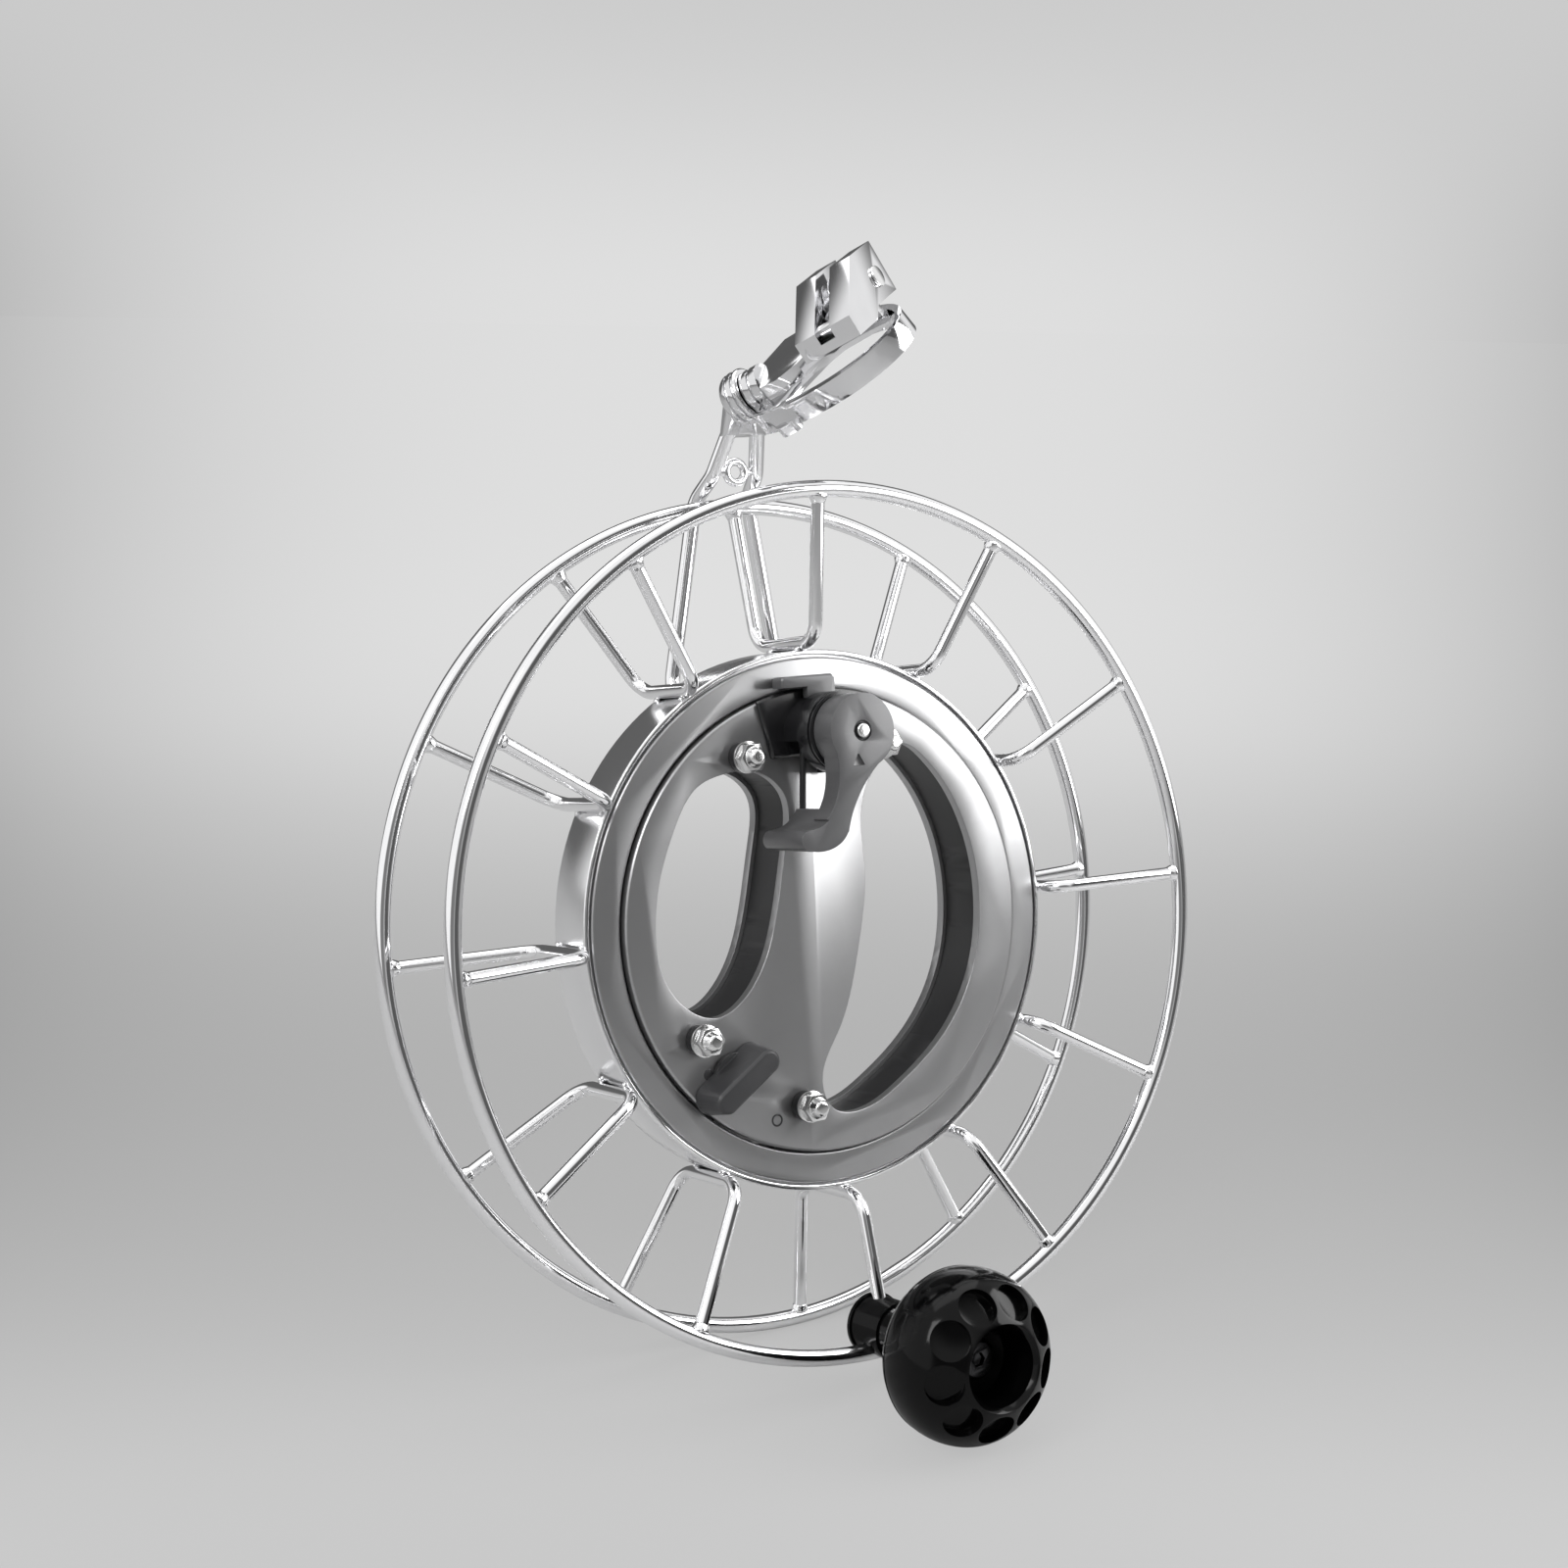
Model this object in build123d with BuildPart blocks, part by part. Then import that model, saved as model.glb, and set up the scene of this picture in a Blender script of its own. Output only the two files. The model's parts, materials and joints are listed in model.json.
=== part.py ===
"""Kite line winder: a wire wheel that spins round a hand-held hub.

Millimetres. The origin is the centre of the wheel on its spin axis. Y is that axis, with the
brake lever and the crank knob on the -Y side, called the front. +Z points up to the guide head,
and +X is right as seen from the front. Heights over the hub's middle plane are measured towards
the front, so a height h lies at y = -h.
"""

import os
from math import cos, radians, sin

from build123d import *

# ---- Wire wheel ------------------------------------------------------------
RING_RADIUS = 118.0  # centre line of both rim rings
RING_WIRE = 4.6
RING_SPREAD = 45.4  # between the two ring planes, which is the room for the line
SPOKE_COUNT = 12
SPOKE_WIRE = 3.8
SPOKE_FOOT = 30.4  # width of each U where it lies across the band
SPOKE_BEND = 7.0
BAND_RADIUS = 75.1
BAND_WALL = 1.4
BAND_FRONT = 9.1
BAND_BACK = -8.5

# ---- Ball bearing between hub and wheel -------------------------------------
BALL_PITCH = 66.0
BALL_RADIUS = 3.0
BALL_COUNT = 20
BALL_FIT = 0.06  # running clearance round each ball
RACE_WIDTH = 10.0
RACE_SHOULDER = 1.8  # how far each race stops short of the ball pitch
CORE_RADIUS = 59.0  # seat of the inner race
CAGE_THICKNESS = 2.4
CAGE_WIDTH = 8.4

# ---- Hub plates --------------------------------------------------------------
PLATE_RADIUS = 64.0
PLATE_THICKNESS = 3.0
PLATE_FACE = 11.2
REAR_FACE = -9.5
SEAM_GAP = 0.5  # between the fixed plate and the turning cover
COVER_FACE = 9.4
COVER_THICKNESS = 2.0
COVER_BACK_FACE = -7.9
BAND_GAP = 0.7  # dark line between the cover and the steel band
CORE_LIP = 1.1  # how far the core's walls stand back from the plates' edges
EDGE_BREAK = 0.5
CORE_FLANGE = 62.6  # radius of the flange that stops the inner race

# ---- Lock ring and lock bolt ---------------------------------------------------
LOCK_RING_INNER = 67.6
NOTCH_COUNT = 24
NOTCH_WIDTH = 9.8
NOTCH_DEPTH = 3.2
LOCK_ANGLE = 227.4  # direction of the lock from the wheel's centre, seen from the front
LOCK_REACH = 51.7  # distance of the knob's shaft from the wheel's centre
LOCK_SHAFT_RADIUS = 4.6
LOCK_THROW = 2.2  # offset of the eccentric pin
LOCK_PIN_RADIUS = 1.4
BOLT_PLATE_WIDTH = 9.0
BOLT_PLATE_TIP = 66.7
BOLT_PLATE_TAIL = 45.5
LOCK_BAR_LENGTH = 25.0
LOCK_BAR_WIDTH = 9.0
LOCK_BAR_HEIGHT = 10.6
LOCK_BAR_ANGLE = 213.0
LOCK_DISC_RADIUS = 6.4
LOCK_DISC_HEIGHT = 1.6

# ---- Through bolts that clamp the hub ------------------------------------------
BOLT_PLACES = [(-24.4, 47.2), (20.0, 47.4), (-44.8, -26.8), (-13.5, -49.7)]
BOLT_RADIUS = 2.0
BOSS_RADIUS = 4.1
BOSS_HEIGHT = 3.4
WASHER_RADIUS = 4.4
WASHER_THICKNESS = 0.8
NUT_ACROSS_FLATS = 7.0
NUT_HEIGHT = 3.2
DOME_RADIUS = 2.9
BOLT_HEAD_RADIUS = 3.6
BOLT_HEAD_HEIGHT = 2.4
COUNTERSINK = 1.5  # depth of the bolts' flush heads in the rear plate

# ---- Disc brake ------------------------------------------------------------------
PIVOT_Z = 52.0
LEVER_PIN_RADIUS = 2.0
BLOCK_OVERHANG = 0.6  # of the block's top beyond the plate's rim
BLOCK_SIDE = 18.6  # half width at its top
BLOCK_FOOT = 15.2  # half width at its bottom
BLOCK_BOTTOM = 46.0
BLOCK_HEIGHT = 1.6
BARREL_RADIUS = 11.1
BARREL_WALL = 2.0
BARREL_HEIGHT = 13.4
BARREL_GROOVE = 0.5
SHOE_WIDTH = 17.0
SHOE_CENTRE = -4.0
SHOE_GAP = 0.3  # between the block's top and the shoe
SHOE_HEIGHT = 3.1
PAD_MARGIN = 0.35  # bare edge of the shoe round its pad
SHOE_THICKNESS = 5.0
SHOE_ARM_WIDTH = 9.0
SHOE_ARM_DROP = 5.4  # how far the arm reaches below the pivot
SHOE_ARM_THICKNESS = 2.4
PAD_THICKNESS = 0.9
SHOE_TRAVEL = 0.7
PAD_REST = 0.3  # gap left under the pad with the brake applied
LEVER_RADIUS = 10.2
LEVER_THICKNESS = 8.4
LEVER_GAP = 0.35
NECK_THICKNESS = 7.0
TRIGGER_DEPTH = 19.8  # how far the finger pad reaches back along Y
CAM_RADIUS = 5.6
BUSH_RADIUS = 2.8
SPRING_COIL = 7.9
SPRING_WIRE = 1.8
SPRING_TURNS = 3.25
SPRING_PITCH = 2.05

# ---- Guide arm ---------------------------------------------------------------------
ARM_WIRE = 4.4
ARM_FOOT_HALF = 19.5
ARM_BEND_Z = 56.0  # where the wires leave the hub and turn back
ARM_REACH = 35.0  # how far behind the hub the wires run to clear the turning rim
CLAMP_Z = 49.2
CLAMP_HEIGHT = 12.0
CLAMP_WIDTH = 54.0
CLAMP_WALL = 3.0
CLAMP_SCREW_HALF = 9.0
EYE_RADIUS = 3.0
EYE_WIRE = 2.4
EYE_LINK = 2.0
EYE_LINK_REACH = 4.0

# ---- Guide head ----------------------------------------------------------------------
HEAD_SETBACK = 7.6  # head's pivot behind the middle plane
HEAD_HEIGHT = 30.6  # head's pivot over the rings' centre line
HEAD_SWING = 25.2  # degrees from -Y towards +X
HEAD_RISE = 17.1
HEAD_ROLL = 24.1
KNUCKLE_RADIUS = 7.6
KNUCKLE_BACK = -7.4
KNUCKLE_FRONT = 0.2
KNUCKLE_DOME = 4.0  # rounding of its closed end
KNUCKLE_RIB = 0.7
LOOP_TILT = 20.0  # degrees about w between the cheeks' base and the loop's plane
LOOP_CENTRE = (20.5, 2.5)
LOOP_LENGTH = 59.8
LOOP_WIDTH = 31.4
LOOP_WALL = 2.2
LOOP_TOP = -2.5
LOOP_HEIGHT = 7.0
WEB_THICKNESS = 2.6
BRACKET_THICKNESS = 5.0
HEAD_HUB = 5.6  # length of the head's own hub on the pivot
HEAD_HUB_RADIUS = 6.0
CHEEK_START = 28.7
CHEEK_THICKNESS = 6.7
CHEEK_SLOT = 4.8
CHEEK_TOP = 18.9
CHEEK_BACK = 16.3
SLOT_FLOOR = 3.4  # over the pivot's axis
LUG_PLACE = (9.0, -11.2)
PULLEY_P = 9.3
PULLEY_N = 9.9
PULLEY_RADIUS = 6.2
PULLEY_WIDTH = 4.0
PULLEY_PIN_RADIUS = 1.5
HEAD_PIVOT_RADIUS = 2.5
RUN_FIT = 0.08  # radial clearance of pins that turn in bores

# ---- Crank knob -----------------------------------------------------------------------
KNOB_INSET = 5.5  # from the front ring's centre line in to the knob's axis
KNOB_SPOKE_ANGLE = 180.0  # the spoke that ends in the knob's socket
KNOB_RADIUS = 23.1
KNOB_BACK = 46.5
KNOB_FACE = 76.1
KNOB_WIDEST = 60.0
SHANK_RADIUS = 7.7
SOCKET_RADIUS = 8.1
SOCKET_BACK = 16.3
SOCKET_FRONT = 29.5
SOCKET_FLANGE = 1.2
SOCKET_FLANGE_RADIUS = 8.7
SHANK_GAP = 0.35
SPINDLE_RADIUS = 3.0
RECESS_RADIUS = 10.2
RECESS_DEPTH = 14.0
DIMPLE_COUNT = 9
DIMPLE_RADIUS = 5.2
DIMPLE_PITCH = 16.8
DIMPLE_START = -15.0
SCREW_HEAD_RADIUS = 5.4
SCREW_HEAD_HEIGHT = 2.6

# ---- Sizes that follow from those above ----------------------------------------------
ring_half = RING_SPREAD / 2
knob_reach = RING_RADIUS - KNOB_INSET
head_joint = (0.0, HEAD_SETBACK, RING_RADIUS + HEAD_HEIGHT)
bar_radius = BAND_RADIUS + SPOKE_WIRE / 2
band_inner = BAND_RADIUS - BAND_WALL
race_half = RACE_WIDTH / 2
groove_radius = BALL_RADIUS + BALL_FIT
plate_back = PLATE_FACE - PLATE_THICKNESS
rear_back = REAR_FACE + PLATE_THICKNESS
cover_inner = PLATE_RADIUS + SEAM_GAP
cover_outer = band_inner - BAND_GAP
cover_back = COVER_FACE - COVER_THICKNESS
block_top = PLATE_RADIUS + BLOCK_OVERHANG
shoe_foot = block_top + SHOE_GAP
shoe_top = shoe_foot + SHOE_HEIGHT
block_face = PLATE_FACE + BLOCK_HEIGHT
barrel_face = block_face + BARREL_HEIGHT
lever_back = barrel_face + LEVER_GAP
lever_face = lever_back + LEVER_THICKNESS
shoe_back = COVER_FACE + PAD_REST + SHOE_TRAVEL + PAD_THICKNESS
shoe_face = shoe_back + SHOE_THICKNESS
arm_plate_back = shoe_face - SHOE_ARM_THICKNESS

os.makedirs("parts", exist_ok=True)


def front(height):
    """Plane at a height over the hub's middle plane, facing the front."""
    return Plane.XZ.offset(height)


def polar(radius, angle):
    """Point of a front-facing plane at a radius and an angle in degrees."""
    return (radius * cos(radians(angle)), radius * sin(radians(angle)))


def finish(piece, label):
    """Label a finished piece and write its STEP file."""
    piece.part.label = label
    export_step(piece.part, f"parts/{label}.step")


# ============================================================================
# Wire wheel
# ============================================================================
def rim_ring(height):
    """One rim ring: a round wire bent to a circle."""
    with BuildPart() as ring:
        with BuildSketch(Plane.XY):
            with Locations((RING_RADIUS, -height)):
                Circle(RING_WIRE / 2)
        revolve(axis=Axis.Y)
    return ring


front_ring = rim_ring(ring_half)
rear_ring = rim_ring(-ring_half)
finish(front_ring, "front_ring")
finish(rear_ring, "rear_ring")

# Socket of the crank knob, welded where spoke 7 meets the front ring.
with BuildPart() as socket_blank:
    with BuildSketch(front(SOCKET_BACK)):
        with Locations((0, -knob_reach)):
            Circle(SOCKET_RADIUS)
    extrude(amount=SOCKET_FRONT - SOCKET_BACK)


def spoke(angle):
    """One U-shaped wire from the front ring, across the band, to the rear ring."""
    side = Vector(cos(radians(angle)), 0, -sin(radians(angle)))
    plane = Plane(origin=(0, 0, 0), x_dir=(0, 1, 0), z_dir=side)
    with BuildPart() as wire:
        with BuildLine(plane) as path:
            FilletPolyline(
                (-ring_half, RING_RADIUS),
                (-SPOKE_FOOT / 2, bar_radius),
                (SPOKE_FOOT / 2, bar_radius),
                (ring_half, RING_RADIUS),
                radius=SPOKE_BEND,
            )
        with BuildSketch(Plane(origin=path.line @ 0, x_dir=side, z_dir=path.line % 0)):
            Circle(SPOKE_WIRE / 2)
        sweep(path=path.line)
        add(front_ring.part, mode=Mode.SUBTRACT)
        add(rear_ring.part, mode=Mode.SUBTRACT)
        if angle == KNOB_SPOKE_ANGLE:
            add(socket_blank.part, mode=Mode.SUBTRACT)
    return wire


for index in range(SPOKE_COUNT):
    finish(spoke(360.0 / SPOKE_COUNT * index), f"spoke_{index + 1:02d}")

with BuildPart() as drum_band:
    with BuildSketch(front(BAND_BACK)):
        Circle(BAND_RADIUS)
        Circle(band_inner, mode=Mode.SUBTRACT)
    extrude(amount=BAND_FRONT - BAND_BACK)
    chamfer(drum_band.edges().filter_by(GeomType.CIRCLE).group_by(SortBy.RADIUS)[-1], 0.4)
finish(drum_band, "drum_band")

# ============================================================================
# Ball bearing
# ============================================================================
inner_top = BALL_PITCH - RACE_SHOULDER
outer_bottom = BALL_PITCH + RACE_SHOULDER


def race(inner, outer):
    """One grooved bearing ring between two radii."""
    with BuildPart() as ring:
        with BuildSketch(Plane.XY):
            with Locations(((inner + outer) / 2, 0)):
                Rectangle(outer - inner, RACE_WIDTH)
            with Locations((BALL_PITCH, 0)):
                Circle(groove_radius, mode=Mode.SUBTRACT)
        revolve(axis=Axis.Y)
    return ring


bearing_inner_race = race(CORE_RADIUS, inner_top)
finish(bearing_inner_race, "bearing_inner_race")
bearing_outer_race = race(outer_bottom, band_inner)
finish(bearing_outer_race, "bearing_outer_race")

with BuildPart(Plane.XZ) as bearing_balls:
    with PolarLocations(BALL_PITCH, BALL_COUNT):
        Sphere(BALL_RADIUS)
finish(bearing_balls, "bearing_balls")

with BuildPart(Plane.XZ) as bearing_cage:
    with BuildSketch(front(-CAGE_WIDTH / 2)):
        Circle(BALL_PITCH + CAGE_THICKNESS / 2)
        Circle(BALL_PITCH - CAGE_THICKNESS / 2, mode=Mode.SUBTRACT)
    extrude(amount=CAGE_WIDTH)
    with PolarLocations(BALL_PITCH, BALL_COUNT):
        Cylinder(
            groove_radius,
            4 * CAGE_THICKNESS,
            rotation=(0, 90, 0),
            mode=Mode.SUBTRACT,
        )
finish(bearing_cage, "bearing_cage")


# ============================================================================
# Turning covers and lock ring
# ============================================================================
def hub_cover(face, back):
    """Plastic ring that closes the bearing, with its outer edges broken."""
    edge = EDGE_BREAK if face > back else -EDGE_BREAK
    with BuildPart() as cover:
        with BuildSketch(Plane.XY):
            with BuildLine():
                Polyline(
                    (cover_inner, -back),
                    (cover_inner, -face + edge),
                    (cover_inner + EDGE_BREAK, -face),
                    (cover_outer - EDGE_BREAK, -face),
                    (cover_outer, -face + edge),
                    (cover_outer, -back),
                    close=True,
                )
            make_face()
        revolve(axis=Axis.Y)
    return cover


hub_cover_front = hub_cover(COVER_FACE, cover_back)
finish(hub_cover_front, "hub_cover_front")

with BuildPart() as hub_cover_rear:
    add(hub_cover(COVER_BACK_FACE, COVER_BACK_FACE + COVER_THICKNESS).part)
    # Spigot that seats on the outer race.
    with BuildSketch(front(COVER_BACK_FACE + COVER_THICKNESS)):
        Circle(cover_outer)
        Circle(outer_bottom + 1, mode=Mode.SUBTRACT)
    extrude(amount=-race_half - COVER_BACK_FACE - COVER_THICKNESS)
finish(hub_cover_rear, "hub_cover_rear")

with BuildPart() as lock_ring:
    with BuildSketch(front(race_half)):
        Circle(band_inner)
        Circle(LOCK_RING_INNER, mode=Mode.SUBTRACT)
        with PolarLocations(LOCK_RING_INNER, NOTCH_COUNT, start_angle=LOCK_ANGLE):
            Rectangle(2 * NOTCH_DEPTH, NOTCH_WIDTH, mode=Mode.SUBTRACT)
    extrude(amount=cover_back - race_half)
finish(lock_ring, "lock_ring")


# ============================================================================
# Fixed hub: two plates round a core, all with the same two hand openings
# ============================================================================
def left_opening():
    """Outline of the opening left of the grip."""
    return [
        (-55.0, 0.0),
        (-52.6, 16.0),
        (-46.6, 30.0),
        (-38.5, 40.5),
        (-30.0, 43.2),
        (-19.0, 42.6),
        (-11.4, 35.5),
        (-12.4, 22.0),
        (-18.3, 0.0),
        (-25.6, -14.0),
        (-38.5, -21.8),
        (-50.0, -15.4),
    ]


def right_opening():
    """Outline of the crescent opening right of the grip."""
    return [
        (51.7, 0.0),
        (50.1, 16.7),
        (44.8, 30.6),
        (36.9, 41.4),
        (29.0, 46.6),
        (20.5, 42.0),
        (13.6, 30.0),
        (12.9, 12.0),
        (8.4, -10.0),
        (0.0, -31.0),
        (-6.6, -43.6),
        (-3.8, -52.2),
        (4.0, -54.3),
        (19.0, -49.0),
        (36.9, -35.9),
        (47.9, -19.0),
    ]


def grown(points, amount):
    """Closed outline's points, each moved outwards by an amount."""
    rows = list(zip(points[-1:] + points[:-1], points, points[1:] + points[:1]))
    area = sum(here[0] * after[1] - after[0] * here[1] for _, here, after in rows)
    turn = amount if area > 0 else -amount
    moved = []
    for before, here, after in rows:
        along = Vector(after[0] - before[0], after[1] - before[1]).normalized()
        moved.append((here[0] + turn * along.Y, here[1] - turn * along.X))
    return moved


def opening_face(points):
    """Face inside a closed smooth outline."""
    with BuildSketch(mode=Mode.PRIVATE) as outline:
        with BuildLine():
            Spline(*points, periodic=True)
        make_face()
    return outline.sketch


def cut_openings(grow):
    """Subtract both hand openings, grown all round, from the sketch being built."""
    add(opening_face(grown(left_opening(), grow)), mode=Mode.SUBTRACT)
    add(opening_face(grown(right_opening(), grow)), mode=Mode.SUBTRACT)


def cut_bolt_holes():
    """Subtract the four through-bolt holes from the sketch being built."""
    with Locations(*BOLT_PLACES):
        Circle(BOLT_RADIUS, mode=Mode.SUBTRACT)


lock_place = polar(LOCK_REACH, LOCK_ANGLE)

with BuildPart() as front_plate:
    with BuildSketch(front(plate_back)):
        Circle(PLATE_RADIUS)
        cut_openings(0)
        cut_bolt_holes()
        with Locations(lock_place):
            Circle(LOCK_SHAFT_RADIUS + RUN_FIT, mode=Mode.SUBTRACT)
        with Locations((0, PIVOT_Z)):
            Circle(LEVER_PIN_RADIUS, mode=Mode.SUBTRACT)
    extrude(amount=PLATE_THICKNESS)
    rim = front_plate.faces().sort_by(Axis.Y)[0].outer_wire().edges()
    chamfer(rim, EDGE_BREAK)
finish(front_plate, "front_plate")

core_back = rear_back
pocket_start = BOLT_PLATE_TAIL - 2.0
pocket_end = CORE_FLANGE + 2.0
with BuildPart() as grip_core:
    with BuildSketch(front(core_back)):
        Circle(CORE_RADIUS)
        cut_openings(CORE_LIP)
        cut_bolt_holes()
    extrude(amount=plate_back - core_back)
    with BuildSketch(front(race_half)):
        Circle(CORE_FLANGE)
        Circle(CORE_RADIUS - 1, mode=Mode.SUBTRACT)
    extrude(amount=plate_back - race_half)
    # Pocket of the lock bolt, open towards the rim and under the front plate.
    with BuildSketch(front(race_half)):
        with Locations(Location(polar((pocket_start + pocket_end) / 2, LOCK_ANGLE), LOCK_ANGLE)):
            Rectangle(pocket_end - pocket_start, BOLT_PLATE_WIDTH + 0.6)
    extrude(amount=plate_back - race_half, mode=Mode.SUBTRACT)
    with BuildSketch(front(block_face)):
        with Locations((0, PIVOT_Z)):
            Circle(LEVER_PIN_RADIUS)
    extrude(amount=-(block_face - rear_back - 4), mode=Mode.SUBTRACT)
finish(grip_core, "grip_core")

with BuildPart() as rear_plate:
    with BuildSketch(front(REAR_FACE)):
        Circle(PLATE_RADIUS)
        cut_openings(0)
        cut_bolt_holes()
        with Locations((-CLAMP_SCREW_HALF, CLAMP_Z), (CLAMP_SCREW_HALF, CLAMP_Z)):
            Circle(BOLT_RADIUS - 0.4, mode=Mode.SUBTRACT)
    extrude(amount=PLATE_THICKNESS)
    rim = rear_plate.faces().sort_by(Axis.Y)[-1].outer_wire().edges()
    chamfer(rim, EDGE_BREAK)
    with BuildSketch(front(REAR_FACE)):
        with Locations(*BOLT_PLACES):
            Circle(BOLT_HEAD_RADIUS)
    extrude(amount=COUNTERSINK, taper=45, mode=Mode.SUBTRACT)
    # Rib that holds the inner race against the core's flange.
    with BuildSketch(front(rear_back)):
        Circle(CORE_FLANGE)
        Circle(CORE_RADIUS, mode=Mode.SUBTRACT)
    extrude(amount=-race_half - rear_back)
finish(rear_plate, "rear_plate")

# ============================================================================
# Through bolts, bosses, washers and dome nuts
# ============================================================================
boss_face = PLATE_FACE + BOSS_HEIGHT
washer_face = boss_face + WASHER_THICKNESS
nut_face = washer_face + NUT_HEIGHT

with BuildPart() as nut_bosses:
    with BuildSketch(front(PLATE_FACE)):
        with Locations(*BOLT_PLACES):
            Circle(BOSS_RADIUS)
        cut_bolt_holes()
    extrude(amount=BOSS_HEIGHT)
finish(nut_bosses, "nut_bosses")

with BuildPart() as nut_washers:
    with BuildSketch(front(boss_face)):
        with Locations(*BOLT_PLACES):
            Circle(WASHER_RADIUS)
        cut_bolt_holes()
    extrude(amount=WASHER_THICKNESS)
finish(nut_washers, "nut_washers")

with BuildPart() as dome_nuts:
    with BuildSketch(front(washer_face)):
        with Locations(*BOLT_PLACES):
            RegularPolygon(NUT_ACROSS_FLATS / 2, 6, major_radius=False)
    extrude(amount=NUT_HEIGHT)
    with BuildSketch(front(nut_face)):
        with Locations(*BOLT_PLACES):
            Circle(DOME_RADIUS)
    extrude(amount=DOME_RADIUS * 0.9, taper=18)
    fillet(dome_nuts.faces().group_by(Axis.Y)[0].edges(), 1.2)
    with BuildSketch(front(washer_face)):
        with Locations(*BOLT_PLACES):
            Circle(BOLT_RADIUS)
    extrude(amount=NUT_HEIGHT, mode=Mode.SUBTRACT)
finish(dome_nuts, "dome_nuts")

with BuildPart() as through_bolts:
    with BuildSketch(front(REAR_FACE)):
        with Locations(*BOLT_PLACES):
            Circle(BOLT_HEAD_RADIUS)
    extrude(amount=COUNTERSINK, taper=45)
    with BuildSketch(front(REAR_FACE)):
        with Locations(*BOLT_PLACES):
            Circle(BOLT_RADIUS)
    extrude(amount=nut_face - REAR_FACE)
finish(through_bolts, "through_bolts")

# ============================================================================
# Disc brake: block, barrel, shoe, lever with its trigger, cam, spring and pin
# ============================================================================
block_shoulder = (block_top**2 - BLOCK_SIDE**2) ** 0.5

with BuildPart() as brake_block:
    with BuildSketch(front(PLATE_FACE)):
        with BuildLine():
            ThreePointArc(
                (-BLOCK_SIDE, block_shoulder),
                (0, block_top),
                (BLOCK_SIDE, block_shoulder),
            )
            Polyline(
                (BLOCK_SIDE, block_shoulder),
                (BLOCK_FOOT, BLOCK_BOTTOM),
                (-BLOCK_FOOT, BLOCK_BOTTOM),
                (-BLOCK_SIDE, block_shoulder),
            )
        make_face()
        with Locations((0, PIVOT_Z)):
            Circle(LEVER_PIN_RADIUS, mode=Mode.SUBTRACT)
    extrude(amount=BLOCK_HEIGHT)
    chamfer(brake_block.faces().sort_by(Axis.Y)[0].outer_wire().edges(), 0.6)
finish(brake_block, "brake_block")

window_half = SHOE_ARM_WIDTH / 2 + 0.5
with BuildPart() as brake_barrel:
    with BuildSketch(front(block_face)):
        with Locations((0, PIVOT_Z)):
            Circle(BARREL_RADIUS)
            Circle(BARREL_RADIUS - BARREL_WALL, mode=Mode.SUBTRACT)
    extrude(amount=BARREL_HEIGHT)
    # Shallow groove near the lever.
    with BuildSketch(front(barrel_face - 1.6)):
        with Locations((0, PIVOT_Z)):
            Circle(BARREL_RADIUS + 1)
            Circle(BARREL_RADIUS - BARREL_GROOVE, mode=Mode.SUBTRACT)
    extrude(amount=0.7, mode=Mode.SUBTRACT)
    # Window for the shoe's arm at the top and slot for the spring's leg below.
    with BuildSketch(front(block_face)):
        with Locations((0, PIVOT_Z + BARREL_RADIUS)):
            Rectangle(2 * window_half, 2 * BARREL_RADIUS)
    extrude(amount=shoe_face + 0.4 - block_face, mode=Mode.SUBTRACT)
    with BuildSketch(front(block_face)):
        with BuildLine():
            Polyline(
                (0, PIVOT_Z),
                (-15.5, PIVOT_Z - 2.4),
                (-13.5, PIVOT_Z - 12.0),
                (-2.0, PIVOT_Z - 16.0),
                (0, PIVOT_Z),
            )
        make_face()
    extrude(amount=6.6, mode=Mode.SUBTRACT)
finish(brake_barrel, "brake_barrel")

with BuildPart() as brake_shoe:
    with BuildSketch(front(shoe_back)):
        with Locations((SHOE_CENTRE, (shoe_top + shoe_foot) / 2)):
            Rectangle(SHOE_WIDTH, SHOE_HEIGHT)
    extrude(amount=SHOE_THICKNESS)
    fillet(brake_shoe.edges().filter_by(Axis.Y).group_by(Axis.Z)[-1], 1.2)
    chamfer(brake_shoe.faces().sort_by(Axis.Y)[0].edges().group_by(Axis.Z)[-1], 0.5)
    with BuildSketch(front(arm_plate_back)):
        with Locations((0, (shoe_top + PIVOT_Z - SHOE_ARM_DROP - 1) / 2)):
            Rectangle(SHOE_ARM_WIDTH, shoe_top - 1 - PIVOT_Z + SHOE_ARM_DROP)
        with Locations((0, PIVOT_Z)):
            Circle(LEVER_PIN_RADIUS + 0.3, mode=Mode.SUBTRACT)
    extrude(amount=SHOE_ARM_THICKNESS)
finish(brake_shoe, "brake_shoe")

with BuildPart() as brake_pad:
    with BuildSketch(front(shoe_back)):
        with Locations((SHOE_CENTRE, (shoe_top + shoe_foot) / 2)):
            Rectangle(SHOE_WIDTH - 2 * PAD_MARGIN, SHOE_HEIGHT - 2 * PAD_MARGIN)
    extrude(amount=-PAD_THICKNESS)
finish(brake_pad, "brake_pad")

# Lever: a thick disc on the pivot, a neck that narrows downwards, and a trigger pad that
# hooks to the left and reaches back towards the hub.
trigger_front = lever_face
neck_back = lever_face - NECK_THICKNESS
trigger_back = lever_face - TRIGGER_DEPTH
spring_foot = (-7.6, 27.6)

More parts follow.
